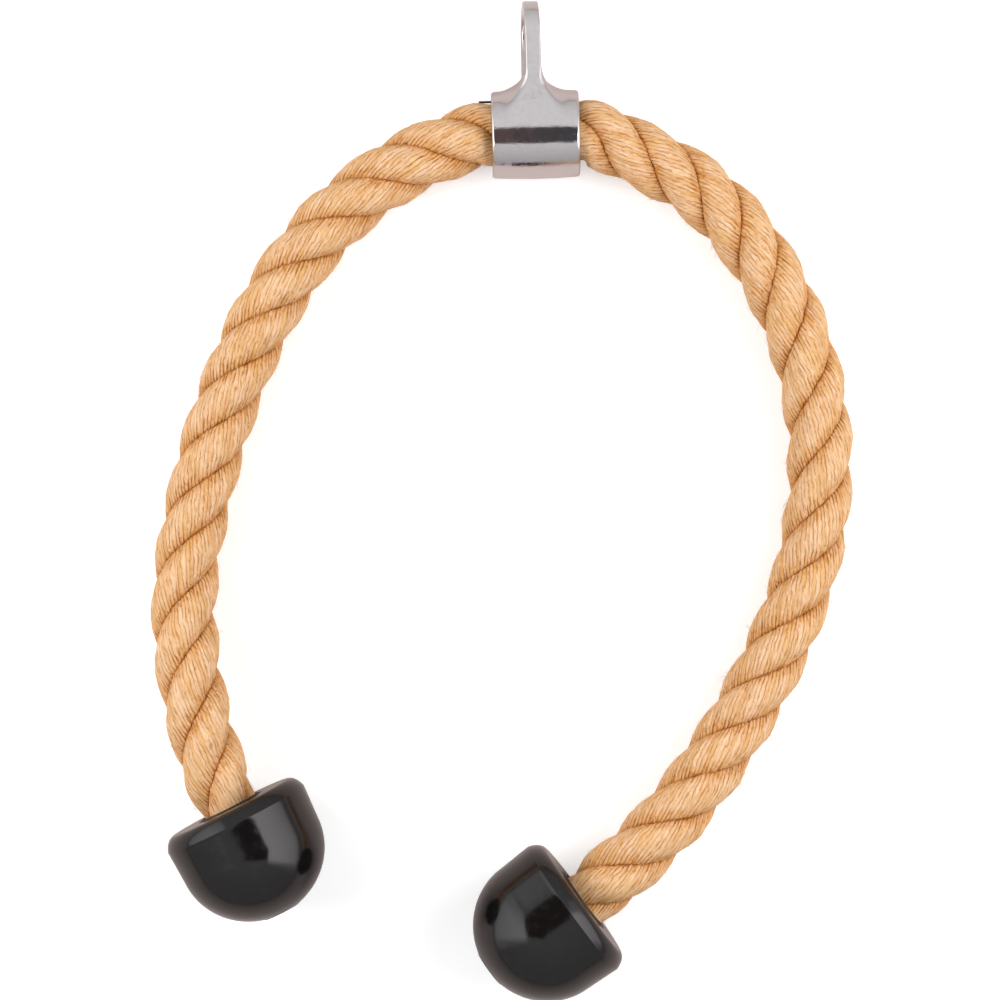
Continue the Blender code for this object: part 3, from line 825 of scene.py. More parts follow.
@dataclass(frozen=True)
class StrandSizes:
    """How three strands are laid into the rope.

    Those that PLAIN names are counts and shares, and hairs is the number of loose fibres to a square metre.
    All others are in millimetres.
    """

    PLAIN: ClassVar[tuple[str, ...]] = (
        "strands", "yarns", "columns_per_yarn", "yarn_turns", "crowding", "wander", "hairs"
    )
    strands: int = 3
    yarns: int = 28
    columns_per_yarn: int = 6
    yarn_turns: float = 2.05
    crowding: float = 0.1
    wander: float = 0.11
    hairs: float = 45000.0
    offset: float = 8.6
    crown: float = 7.75
    widening: float = 1.15
    wall: float = 7.62
    corner: float = 1.7
    ridge: float = 0.32
    flank_ridge: float = 0.75
    stray: float = 0.30
    lumps: float = 0.75
    looseness: float = 1.0
    hair_length: float = 3.4
    hair_lift: float = 1.1
    hair_radius: float = 0.07

    def inputs(self) -> dict[str, float]:
        """The tree's inputs by name: lengths in metres, and all others as they are."""
        return {name: value if name in self.PLAIN else value * MM for name, value in asdict(self).items()}


class StrandTree(ModelTree):
    """Lays strands of yarns along a route. Each row of the mesh stands at one point of the route.

    The route's points hold the frame of the rope there: the way up and the way across, the length so far, how
    far out the strands' axes are and how thick the strands are.

    FACE_TURN is how far round from its outer side a strand's flat wall faces, and STEEPEST the least cosine
    to it. Over the FLANK the yarns' ridges grow. OPENING and PARTING are what a noise makes of the walls'
    corners and of the ridges. GROOVE is how far from the rope's middle a groove starts and ends, in
    millimetres. Loose fibres grow where the groove is less deep than BARE_GROOVE and the strand faces up more
    than BARE_UPRIGHT. The map has MAP_SCALE units to a metre, and ROUNDING keeps whole numbers whole.
    """

    FACE_TURN: ClassVar[float] = math.radians(150.0)
    STEEPEST: ClassVar[float] = 0.05
    FLANK: ClassVar[Pair] = (math.radians(45.0), math.radians(95.0))
    OPENING: ClassVar[Four] = (0.38, 0.66, 0.25, 2.1)
    PARTING: ClassVar[Four] = (0.36, 0.62, 0.2, 1.6)
    GROOVE: ClassVar[Pair] = (15.8, 12.2)
    MAP_SCALE: ClassVar[float] = 20.0
    ROUNDING: ClassVar[float] = 0.001
    BARE_GROOVE: ClassVar[float] = 0.5
    BARE_UPRIGHT: ClassVar[float] = -0.4
    HAIR_LENGTHS: ClassVar[Pair] = (0.4, 1.5)
    HAIR_LIFTS: ClassVar[Pair] = (0.1, 1.4)

    def __init__(self, sizes: StrandSizes) -> None:
        """Builds the tree.

        Args:
            sizes: The sizes that the tree takes.
        """
        super().__init__("laid_strands")
        kinds = {name: "Int" if isinstance(value, int) else "Float" for name, value in sizes.inputs().items()}
        s = self.size = SimpleNamespace(**{name: self.input(name, kind) for name, kind in kinds.items()})
        lay, start, self.seed = (self.input(name) for name in ("lay_length", "start_turn", "seed"))
        material = self.input("material", "Material")
        route = self.geometry()
        steps = s.yarns * s.columns_per_yarn
        laid = self._strands(self.sheet(steps, self.point_count(route)))

        row = self.named("row")
        self.strand = self.named("strand")
        self.share = self.named("column") / steps
        place = self.at_point(route, self.add("GeometryNodeInputPosition"), row, "FLOAT_VECTOR")
        ways = (self.named(name, "FLOAT_VECTOR") for name in ("up", "across"))
        up, across = (self.at_point(route, way, row, "FLOAT_VECTOR") for way in ways)
        numbers = (self.named(name) for name in ("along", "spread", "girth"))
        self.along, spread, girth = (self.at_point(route, number, row) for number in numbers)

        laid_turn = self.along / lay
        angle = (start + self.strand / s.strands + laid_turn) * TURN
        own = self._own_turn(laid_turn)
        reach = self._reach(own) * girth
        cosine, sine = self.math("COSINE", angle), self.math("SINE", angle)
        outward = self._turned(up, across, cosine, sine)
        sideways = self._turned(up, across, -sine, cosine)
        from_axis = s.offset * spread + reach * self.math("COSINE", own)
        aside = reach * self.math("SINE", own)
        there = self.vector("ADD", self.scaled(outward, from_axis), self.scaled(sideways, aside))
        high, low = (level * MM for level in self.GROOVE)
        depth = self.hypotenuse(from_axis, aside) / spread
        groove = self.add("ShaderNodeMapRange", None, {0: depth, 1: high, 2: low})
        # The groove's depth, kept for the painted shade by the grooves and for where loose fibres grow.
        laid = self.store(laid, "groove", groove)
        strand_map = self.joined(self.share + self.strand, self.along * self.MAP_SCALE)
        laid = self.store(laid, "strand_map", strand_map, "FLOAT2", "CORNER")
        laid = self.moved(laid, self.vector("ADD", place, there))
        self.close(self._together(laid, self._fuzz(laid)), material)

    def _strands(self, sheet: Wire) -> Wire:
        """The sheet once for each strand, with the strand's number kept on it."""
        sockets = {"Count": self.size.strands, "Offset": (0.0, 0.0, 0.0)}
        starts = self.add("GeometryNodeMeshLine", None, sockets)
        starts = self.store(starts, "strand", self.add("GeometryNodeInputIndex"))
        laid = self.add("GeometryNodeInstanceOnPoints", None, {"Points": starts, "Instance": sheet})
        return self.add("GeometryNodeRealizeInstances", None, {0: laid})

    def _own_turn(self, laid_turn: Wire) -> Wire:
        """How far round its strand a point is, nought where the strand faces outwards.

        Args:
            laid_turn: How far the strands have wound round the rope.

        Returns:
            The angle, which wanders a little, as the yarns do.
        """
        own = self.share * TURN - self.size.yarn_turns * TURN * laid_turn
        drift = self.noise(self._ring(radius=4.0, pace=70.0, shift=31.7, seed=self.seed)) - 0.5
        own = self.math("WRAP", own + self.size.wander * 2.0 * drift, math.pi, -math.pi)
        return own + self.size.crowding * self.math("SINE", own * 2.0)

    def _reach(self, own: Wire) -> Wire:
        """How far a point of a strand is from the strand's axis.

        Args:
            own: How far round its strand the point is.

        Returns:
            The distance: a lobe outside, flat flanks where the strands press each other, and ridges of yarns.
        """
        s = self.size
        around = self._ring(radius=1.1, pace=100.0, shift=17.3, seed=self.seed * 2.0)
        lumpy = self.noise(around) - 0.5
        lobe = s.crown + s.widening * own * own + s.lumps * 2.0 * lumpy
        loose = self.noise(around, scale=2.1) - 0.5
        facing = self.math("COSINE", abs(own) - self.FACE_TURN)
        pressed = (s.wall + s.looseness * 2.0 * loose) / self.math("MAXIMUM", facing, self.STEEPEST)
        opening = self.smooth_step(self.noise(around, scale=1.7), *self.OPENING)
        profile = self.math("SMOOTH_MIN", lobe, pressed, s.corner * opening)

        cells = self.share * s.yarns
        inside = cells - self.math("FLOOR", cells)
        bulge = self.math("SQRT", self.positive(1.0 - (inside * 2.0 - 1.0) ** 2.0))
        yarn = self.math("FLOOR", cells + self.ROUNDING)
        each = self._by_yarn(yarn, yarn_shift=7.31, strand_shift=13.7, pace=45.0)
        uneven = self.noise(each, roughness=0.55) - 0.5
        apart = self._by_yarn(yarn, yarn_shift=5.17, strand_shift=9.1, pace=150.0, layer=3.0)
        ridge = s.ridge + (s.flank_ridge - s.ridge) * self.smooth_step(abs(own), *self.FLANK)
        ridges = ridge * self.smooth_step(self.noise(apart), *self.PARTING)
        return profile + ridges * (bulge - 1.0) + s.stray * 2.0 * uneven

    def _by_yarn(
        self, yarn: Wire, yarn_shift: float, strand_shift: float, pace: float, layer: float = 0.0
    ) -> Wire:
        """A place where a noise is read that differs from yarn to yarn and from strand to strand.

        Args:
            yarn: The yarn's number.
            yarn_shift: How far apart the yarns are in the noise.
            strand_shift: How far apart the strands are in it.
            pace: How much it changes along a metre of rope.
            layer: What sets it apart from another noise.

        Returns:
            The place.
        """
        aside = yarn * yarn_shift + self.strand * strand_shift
        return self.joined(aside, self.along * pace + self.seed, layer)

    def _ring(self, radius: float, pace: float, shift: float, seed: Wire) -> Wire:
        """A place where a noise is read that closes on itself round each strand.

        Args:
            radius: The ring's radius in the noise, so how much the noise changes round a strand.
            pace: How much it changes along a metre of rope.
            shift: How far apart the strands are in it.
            seed: What sets this rope apart from others.

        Returns:
            The place.
        """
        turn = self.share * TURN
        height = self.along * pace + self.strand * shift + seed
        return self.joined(self.math("COSINE", turn) * radius, self.math("SINE", turn) * radius, height)

    def _together(self, *parts: Wire) -> Wire:
        """Several geometries as one."""
        node = self.add("GeometryNodeJoinGeometry")
        for part in parts:
            self.tree.links.new(part.socket, node.socket.node.inputs[0])
        return node

    def _random(self, low: float, high: float, lot: int) -> Wire:
        """A number drawn for each point."""
        sockets = {2: low, 3: high, "Seed": self.seed + lot}
        return self.add("FunctionNodeRandomValue", {"data_type": "FLOAT"}, sockets, 1)

    def _fuzz(self, laid: Wire) -> Wire:
        """Loose fibres that stand off the strands where nothing covers them.

        Args:
            laid: The strands.

        Returns:
            The fibres, each with the place on the strands' map that it grows from.
        """
        s = self.size
        _, _, upright = self.parted(self.add("GeometryNodeInputNormal"))
        shallow = self.math("LESS_THAN", self.named("groove"), self.BARE_GROOVE)
        bare = shallow * self.math("GREATER_THAN", upright, self.BARE_UPRIGHT)
        sockets = {"Mesh": laid, "Selection": bare, "Density": s.hairs, "Seed": self.seed}
        roots = self.add("GeometryNodeDistributePointsOnFaces", None, sockets)
        points = self.store(roots, "hair_map", self.named("strand_map", "FLOAT_VECTOR"), "FLOAT_VECTOR")
        length, lift = s.hair_length, s.hair_lift
        middle, end = self.joined(0.0, length * 0.5, lift), self.joined(length * 0.2, length, lift * 0.8)
        sockets = {"Resolution": 4, "Start": (0.0, 0.0, 0.0), "Middle": middle, "End": end}
        stem = self.add("GeometryNodeCurveQuadraticBezier", None, sockets)
        ring = self.add("GeometryNodeCurvePrimitiveCircle", None, {"Resolution": 3, "Radius": s.hair_radius})
        sockets = {"Curve": stem, "Profile Curve": ring, "Fill Caps": True}
        hair = self.add("GeometryNodeCurveToMesh", None, sockets)
        spin = self.joined(0.0, 0.0, self._random(-math.pi, math.pi, lot=1))
        sockets = {"Rotation": roots.output("Rotation"), "Rotate By": spin}
        turned = self.add("FunctionNodeRotateRotation", {"rotation_space": "LOCAL"}, sockets)
        longer = self._random(*self.HAIR_LENGTHS, lot=2)
        scale = self.joined(1.0, longer, self._random(*self.HAIR_LIFTS, lot=3))
        sockets = {"Points": points, "Instance": hair, "Rotation": turned, "Scale": scale}
        fuzz = self.add("GeometryNodeInstanceOnPoints", None, sockets)
        fuzz = self.add("GeometryNodeRealizeInstances", None, {0: fuzz})
        return self.store(fuzz, "strand_map", self.named("hair_map", "FLOAT_VECTOR"), "FLOAT2", "CORNER")

    def _turned(self, first: Wire, second: Wire, cosine: Wire, sine: Wire) -> Wire:
        """A direction between two others."""
        return self.vector("ADD", self.scaled(first, cosine), self.scaled(second, sine))


def row_numbers(mesh: bpy.types.Mesh) -> np.ndarray:
    """The row of each of a mesh's points, whole numbers but for those of the loose fibres."""
    return np.round(read_each(mesh.attributes["row"].data, "value"), 2)


@dataclass
class SeamRim:
    """The rim at one end of a length of strands: its points' corners, their places and the normals there."""

    corners: np.ndarray
    corner_points: np.ndarray
    places: np.ndarray
    normals: np.ndarray

    @classmethod
    def read(cls, mesh: bpy.types.Mesh, at_end: bool) -> SeamRim:
        """Reads the rim of a mesh that still has its rows.

        Args:
            mesh: The mesh of one length.
            at_end: Whether the rim is at the last rows or at the first ones.

        Returns:
            The rim, its normals those of the faces along the strands.
        """
        row = row_numbers(mesh)
        point = read_each(mesh.loops, "vertex_index", kind=np.int32)
        sides = read_each(mesh.polygons, "loop_total", kind=np.int32)
        face = np.repeat(np.arange(len(sides)), sides)
        last = row.max()
        rim, cap, beside = (last - 1, last, last - 2) if at_end else (1.0, 0.0, 2.0)
        closes, reaches = np.zeros((2, len(sides)), bool)
        closes[face[row[point] == cap]] = True
        reaches[face[row[point] == beside]] = True
        corners = np.flatnonzero((row[point] == rim) & (reaches & ~closes)[face])
        points, corner_points = np.unique(point[corners], return_inverse=True)
        turned = read_each(mesh.polygons, "normal", 3) * read_each(mesh.polygons, "area")[:, None]
        normals = np.zeros((len(points), 3))
        np.add.at(normals, corner_points, turned[face[corners]])
        normals /= np.linalg.norm(normals, axis=1)[:, None]
        return cls(corners, corner_points, read_each(mesh.vertices, "co", 3)[points], normals)

    def shade(self, mesh: bpy.types.Mesh, normals: np.ndarray) -> None:
        """Gives the rim's points new normals, and leaves all others as they are.

        Args:
            mesh: The mesh that the rim was read from.
            normals: One normal for each of the rim's points.
        """
        custom = np.zeros((len(mesh.loops), 3), np.float32)
        custom[self.corners] = normals[self.corner_points]
        mesh.normals_split_custom_set(custom)


@dataclass
class RopeArm:
    """One arm of the laid rope: two lengths of strands, from the sleeve's middle to the cap's wedge."""

    route: ArmRoute
    sleeve: SleeveSizes
    sizes: StrandSizes
    lay_length: float
    start_turn: float
    seed: float
    free_radius: float = 16.0
    in_sleeve: float = 0.925
    in_cap: float = 0.87
    cap_depth: float = 12.0
    sleeve_grip: Pair = (-1.5, 6.0)
    cap_grip: float = 16.0
    row_step: float = 1.45
    hidden_step: float = 4.0
    hidden_from: float = 2.0
    least_step: float = 1.0
    slope_step: float = 0.5
    path_points: int = 40
    line: np.ndarray = field(init=False)
    lengths: np.ndarray = field(init=False)

    def __post_init__(self) -> None:
        """Works out the arm's centre line."""
        self.line, self.lengths = self.route.line(self.sleeve)

    @property
    def total(self) -> float:
        """The arm's length from the sleeve's mouth to the cap's face, in millimetres."""
        return float(self.lengths[-1])

    def points_at(self, at: np.ndarray) -> np.ndarray:
        """Points of the centre at some lengths from the sleeve's mouth, straight on beyond both ends."""
        inside = np.stack([np.interp(at, self.lengths, self.line[:, i]) for i in range(3)], axis=1)
        first = self.line[1] - self.line[0]
        before = np.minimum(at, 0.0)[:, None] * first / np.linalg.norm(first)
        after = np.maximum(at - self.total, 0.0)[:, None] * self.route.axis()
        return inside + before + after

    def squeeze(self, at: np.ndarray) -> np.ndarray:
        """How thick the rope is at some lengths, as a share of its free thickness."""
        at_sleeve = self.in_sleeve + (1.0 - self.in_sleeve) * rise(at, *self.sleeve_grip)
        at_cap = self.in_cap + (1.0 - self.in_cap) * rise(self.total - at, 0.0, self.cap_grip)
        return np.minimum(at_sleeve, at_cap)

    def limits(self, half: Half) -> Pair:
        """Where one of the two lengths of strands starts and ends."""
        if half is Half.UPPER:
            return -self.sleeve.length / 2.0, self.route.seam
        return self.route.seam, self.total + self.cap_depth

    def rows(self, half: Half) -> np.ndarray:
        """The lengths at which the mesh has rows: close in sight, and far apart in the sleeve and the cap."""
        start, end = self.limits(half)
        first, last = max(start, -self.hidden_from), min(end, self.total + self.hidden_from)
        middle = np.linspace(first, last, round((last - first) / self.row_step) + 1)
        before = np.arange(start, first - self.least_step, self.hidden_step)
        after = np.arange(end, last + self.least_step, -self.hidden_step)[::-1]
        return np.concatenate([before, middle, after])

    def route_mesh(self, half: Half) -> bpy.types.Mesh:
        """The route of one length of strands, with the rope's frame kept at each point.

        Args:
            half: Which length of strands.

        Returns:
            A mesh of points. Its first two and its last two coincide, and the outer ones close the strands.
        """
        at = self.rows(half)
        at = np.concatenate([at[:1], at, at[-1:]])
        place = self.points_at(at)
        ahead = self.points_at(at + self.slope_step) - self.points_at(at - self.slope_step)
        ahead /= np.linalg.norm(ahead, axis=1)[:, None]
        across = np.cross(ahead, UP)
        across /= np.linalg.norm(across, axis=1)[:, None]
        up = np.cross(across, ahead)
        thickness = self.squeeze(at)
        girth = thickness.copy()
        girth[[0, -1]] = 0.0
        mesh = bpy.data.meshes.new("route")
        mesh.from_pydata([tuple(point) for point in place * MM], [], [])
        for name, values in (("up", up), ("across", across)):
            kept = mesh.attributes.new(name, "FLOAT_VECTOR", "POINT")
            kept.data.foreach_set("vector", values.astype(np.float32).ravel())
        for name, values in (("along", at * MM), ("spread", thickness), ("girth", girth)):
            kept = mesh.attributes.new(name, "FLOAT", "POINT")
            kept.data.foreach_set("value", values.astype(np.float32))
        return mesh

    def lay(self, tree: StrandTree, half: Half, material: bpy.types.Material) -> bpy.types.Object:
        """Lays the strands of one length.

        Args:
            tree: The tree that lays strands.
            half: Which length of strands.
            material: The fibre.

        Returns:
            The piece, as a plain mesh.
        """
        values = {
            **self.sizes.inputs(),
            "lay_length": self.lay_length * MM,
            "start_turn": self.start_turn,
            "seed": self.seed,
            "material": material,
        }
        piece = tree.run(f"{self.route.side.value}_{half.value}_strands", self.route_mesh(half), values)
        piece.data.shade_smooth()
        self._sharpen_ends(piece.data)
        return piece

    @staticmethod
    def _sharpen_ends(mesh: bpy.types.Mesh) -> None:
        """Keeps the rims of the strands' flat ends sharp."""
        row = row_numbers(mesh)
        first, second = row[read_each(mesh.edges, "vertices", 2, np.int32).T]
        last = row.max()
        rim = (first == second) & ((first == 1) | (first == last - 1))
        sharp = mesh.attributes.new("sharp_edge", "BOOLEAN", "EDGE")
        sharp.data.foreach_set("value", rim)

    def hide_seam(self, upper: bpy.types.Mesh, lower: bpy.types.Mesh) -> None:
        """Shades the rims where the two lengths meet alike, and drops the numbers that only the tree needs.

        Args:
            upper: The mesh of the upper length.
            lower: The mesh of the lower length.
        """
        rims = [SeamRim.read(upper, at_end=True), SeamRim.read(lower, at_end=False)]
        order = [np.lexsort(np.round(rim.places, 5).T) for rim in rims]
        both = rims[0].normals[order[0]] + rims[1].normals[order[1]]
        both /= np.linalg.norm(both, axis=1)[:, None]
        for mesh, rim, places in zip((upper, lower), rims, order):
            shared = np.zeros_like(both)
            shared[places] = both
            rim.shade(mesh, shared)
            for name in ("row", "column", "strand", "hair_map"):
                mesh.attributes.remove(mesh.attributes[name])

    def centre(self, half: Half) -> list[Triple]:
        """The centre of one length of strands as points, in metres."""
        start, end = self.limits(half)
        return [tuple(point) for point in self.points_at(np.linspace(start, end, self.path_points)) * MM]

    def build(self, tree: StrandTree, material: bpy.types.Material) -> None:
        """Lays both lengths, and hides the nodes of the model that they replace.

        Args:
            tree: The tree that lays strands.
            material: The fibre.
        """
        side = self.route.side.value
        bends = [share * self.total for share in self.route.bends]
        stands_for = {
            Half.UPPER: ("mouth_rope", "upper_rope"),
            Half.LOWER: ("mid_rope", "lower_rope", "rope_tail"),
        }
        pieces = [self.lay(tree, half, material) for half in Half]
        self.hide_seam(*(piece.data for piece in pieces))
        for number, (half, piece) in enumerate(zip(Half, pieces)):
            start, end = self.points_at(np.array(bends[2 * number : 2 * number + 2])) * MM
            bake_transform(piece)
            nodes = [f"{side}_{name}" for name in stands_for[half]]
            if half is Half.UPPER and self.route.side is Side.LEFT:
                nodes.append("rope_bight")
            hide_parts(*nodes)
            leaves = 0.0 if half is Half.UPPER else self.route.seam
            tuple(self.points_at(np.array([leaves]))[0] * MM)
            self.centre(half)


class CastingField(Graph):
    """A node group: how far a place in the sleeve's frame is from the casting's skin, less than zero inside.

    It blends the sleeve's barrel and its lug into one casting and cuts the holes in it.
    """

    def __init__(self, sizes: SleeveSizes) -> None:
        """Builds the group.

        Args:
            sizes: The sleeve's sizes, in millimetres, which are the group's own unit.
        """
        super().__init__(bpy.data.node_groups.new("casting_distance", "GeometryNodeTree"))
        self.tree.interface.new_socket("Place", in_out="INPUT", socket_type="NodeSocketVector")
        self.tree.interface.new_socket("Distance", in_out="OUTPUT", socket_type="NodeSocketFloat")
        s = self.sizes = sizes
        x, y, z = self.parted(self.add("NodeGroupInput"))
        from_axis = self.hypotenuse(y, z)
        wall = s.radius - s.crown * (x / (s.length / 2.0)) ** 2.0
        barrel = self._rounded(abs(x) - s.length / 2.0, from_axis - wall, s.edge)

        twist = math.radians(s.lug_twist)
        aside = x - s.lug_offset
        thick = aside * math.cos(twist) - z * math.sin(twist)
        wide = aside * math.sin(twist) + z * math.cos(twist)
        outline = self._tapered(abs(wide), y)
        bend = (s.flare_start + s.flare_bend, s.flare_start - 2.0 * s.flare_bend)
        edge = self.smooth_step(y, *bend, s.lug_edge, s.flare_edge)
        lug = self._rounded(abs(thick) - self._flared(y), outline, edge)
        fillet = self.smooth_step(outline, *s.fillet_depth, s.thin_fillet, s.fillet)
        fillet = 1.0 + (fillet - 1.0) * self.smooth_step(y, *s.fillet_rise)
        solid = self._filleted(barrel, lug, fillet)

        holes = (
            (s.eye_hole - self.hypotenuse(wide, y - s.eye_distance), s.hole_edge),
            (s.bore - from_axis, s.bore_edge),
            (self.math("MINIMUM", s.grub_radius - self.hypotenuse(x, y), -z), s.grub_edge),
        )
        for hole, rounding in holes:
            solid = self._cut(solid, hole, rounding)
        self.add("NodeGroupOutput", None, {0: solid})

    def _flared(self, out: Wire) -> Wire:
        """Half the lug's thickness, which spreads as the lug runs into the barrel.

        Args:
            out: How far out from the rope's axis.

        Returns:
            The half thickness there.
        """
        s = self.sizes
        inward = s.flare_start - out
        start = self.math("MINIMUM", self.positive(inward + s.flare_bend), 2.0 * s.flare_bend)
        spread = start * start / (4.0 * s.flare_bend) + self.positive(inward - s.flare_bend)
        return self.math("SMOOTH_MIN", s.lug_half + s.flare_slope * spread, s.flare_half, s.flare_bend)

    def _tapered(self, across: Wire, out: Wire) -> Wire:
        """The lug's outline: the straight-sided wrap of a circle in the barrel's wall and the eye's circle.

        Args:
            across: How far from the lug's middle.
            out: How far out from the rope's axis.

        Returns:
            The distance from the outline.
        """
        s = self.sizes
        reach = s.eye_distance
        lean = (s.root_radius - s.eye_radius) / reach
        upright = math.sqrt(1.0 - lean * lean)
        along = out * upright - across * lean
        near = self.hypotenuse(across, out) - s.root_radius
        far = self.hypotenuse(across, out - reach) - s.eye_radius
        flank = across * upright + out * lean - s.root_radius
        before = self.math("LESS_THAN", along, 0.0)
        after = self.math("GREATER_THAN", along, upright * reach)
        return near * before + far * after + flank * (1.0 - before) * (1.0 - after)

    def _rounded(self, first: Wire, second: Wire, radius: Value) -> Wire:
        """What two walls enclose, where they meet in a rounded outer edge of some radius."""
        a, b = first + radius, second + radius
        outside = self.hypotenuse(self.positive(a), self.positive(b))
        return outside + self.math("MINIMUM", self.math("MAXIMUM", a, b), 0.0) - radius

    def _filleted(self, first: Wire, second: Wire, radius: Wire) -> Wire:
        """Two solids as one, with a round fillet of some radius between them."""
        nearest = self.math("MAXIMUM", self.math("MINIMUM", first, second), radius)
        return nearest - self.hypotenuse(self.positive(radius - first), self.positive(radius - second))

    def _cut(self, solid: Wire, hole: Wire, radius: float) -> Wire:
        """A solid with a hole cut in it, its edge rounded. The hole's distance is above zero inside it."""
        furthest = self.math("MINIMUM", self.math("MAXIMUM", solid, hole), -radius)
        return furthest + self.hypotenuse(self.positive(solid + radius), self.positive(hole + radius))


class CastingTree(ModelTree):
    """Makes the casting's field of distances into a mesh.

    The field fills a volume that reaches MARGIN past the casting, in millimetres, and has the DENSITY at its
    skin. The volume's mesh is then drawn onto the field's own skin in a few ROUNDS, each along the field's
    slope, which is read over a STEP.
    """

    MARGIN: ClassVar[float] = 1.5
    DENSITY: ClassVar[float] = 10.0
    ROUNDS: ClassVar[int] = 2
    STEP: ClassVar[float] = 0.01

    def __init__(self, sizes: SleeveSizes) -> None:
        """Builds the tree.

        Args:
            sizes: The sleeve's sizes, in millimetres, which are the tree's own unit.
        """
        super().__init__("blended_casting")
        fineness = self.input("Fineness")
        material = self.input("Material", "Material")
        self.field_tree = CastingField(sizes).tree
        half, radius, top = sizes.length / 2.0, sizes.radius, sizes.eye_distance + sizes.eye_radius
        low = tuple(end - self.MARGIN for end in (-half, -radius, -radius))
        high = tuple(end + self.MARGIN for end in (half, top, radius))
        spans = {f"Resolution {axis}": end - start for axis, start, end in zip("XYZ", low, high)}
        counts = {name: self.math("CEIL", span / fineness) for name, span in spans.items()}
        here = self.add("GeometryNodeInputPosition")
        density = self.DENSITY - self._distance(here)
        sockets = {"Density": density, "Background": 0.0, "Min": low, "Max": high, **counts}
        block = self.add("GeometryNodeVolumeCube", None, sockets)
        sockets = {"Volume": block, "Threshold": self.DENSITY}
        skin = self.add("GeometryNodeVolumeToMesh", {"resolution_mode": "GRID"}, sockets)
        for _ in range(self.ROUNDS):
            slope = self._slope(here)
            steep = self.vector("DOT_PRODUCT", slope, slope, output=1)
            back = self.scaled(slope, -self._distance(here) / steep)
            skin = self.add("GeometryNodeSetPosition", None, {0: skin, "Offset": back})
        skin = self.add("GeometryNodeSetShadeSmooth", None, {0: skin, "Shade Smooth": True})
        normal = self.vector("NORMALIZE", self._slope(here))
        self.close(self.store(skin, "true_normal", normal, "FLOAT_VECTOR"), material)

    def _distance(self, place: Wire) -> Wire:
        """How far a place is from the casting's skin, less than zero inside."""
        return self.add("GeometryNodeGroup", {"node_tree": self.field_tree}, {0: place})

    def _slope(self, place: Wire) -> Wire:
        """The way in which the distance grows fastest."""
        parts = []
        for i in range(3):
            shift = tuple(self.STEP if i == axis else 0.0 for axis in range(3))
            more = self._distance(self.vector("ADD", place, shift))
            less = self._distance(self.vector("SUBTRACT", place, shift))
            parts.append((more - less) / (2.0 * self.STEP))
        return self.joined(*parts)


@dataclass
class EyeSleeve:
    """The chromed casting that holds the rope's middle, with the tape and the screw inside it."""

    sizes: SleeveSizes
    fineness: float = 0.55

    def build(self, finishes: Finishes) -> None:
        """Makes the casting and dresses what sits in it.

        Args:
            finishes: The built materials.
        """
        seed = bpy.data.meshes.new("seed_point")
        seed.from_pydata([(0.0, 0.0, 0.0)], [], [])
        tree = CastingTree(self.sizes)
        casting = tree.run("sleeve_casting", seed, {"Fineness": self.fineness, "Material": finishes.chrome})
        mesh = casting.data
        normals = read_each(mesh.attributes["true_normal"].data, "vector", 3)
        mesh.attributes.remove(mesh.attributes["true_normal"])
        place = self.sizes.frame() @ Matrix.Scale(MM, 4)
        mesh.transform(place)
        turned = normals @ np.array(self.sizes.frame().to_3x3()).T
        mesh.normals_split_custom_set_from_vertices([tuple(normal) for normal in turned])
        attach(casting, "connector")
        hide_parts("eye_sleeve")
        LOG.info("%s: %d faces", casting.name, len(mesh.polygons))
        for name, material in (("sleeve_tape", finishes.tape), ("grub_screw", finishes.steel)):
            dress_node(name, material)


def dress_node(name: str, material: bpy.types.Material) -> None:
    """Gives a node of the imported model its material.

    Args:
        name: The node's name.
        material: Its material.
    """
    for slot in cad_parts[name].material_slots:
        slot.material = material
    LOG.info("%s: dressed as %s", name, material.name)


class LatheTree(ModelTree):
    """Turns an outline of points about Z. The points' X is the radius and their Z the height."""

    def __init__(self) -> None:
        """Builds the tree."""
        super().__init__("turned_outline")
        steps = self.input("Steps", "Int")
        material = self.input("Material", "Material")
        outline = self.geometry()
        sheet = self.sheet(steps, self.point_count(outline))
        position = self.add("GeometryNodeInputPosition")
        radius, _, height = self.parted(self.at_point(outline, position, self.named("row"), "FLOAT_VECTOR"))
        angle = self.named("column") / steps * TURN
        place = self.joined(radius * self.math("COSINE", angle), radius * self.math("SINE", angle), height)
        self.close(self.moved(sheet, place), material)


def arc(centre: Pair, radius: float, start: float, end: float, steps: int) -> list[Pair]:
    """Points along an arc between two angles in degrees, both ends included."""
    turns = [math.radians(start + (end - start) * i / steps) for i in range(steps + 1)]
    return [(centre[0] + radius * math.cos(turn), centre[1] + radius * math.sin(turn)) for turn in turns]


def pulled_curve(points: Sequence[np.ndarray], steps: int) -> np.ndarray:
    """Points of a cubic curve from the first of four points to the last, pulled towards the two between."""
    first, second, third, last = points
    share = np.linspace(0.0, 1.0, steps + 1)[:, None]
    rest = 1.0 - share
    return rest**3 * first + 3.0 * rest**2 * share * second + 3.0 * rest * share**2 * third + share**3 * last


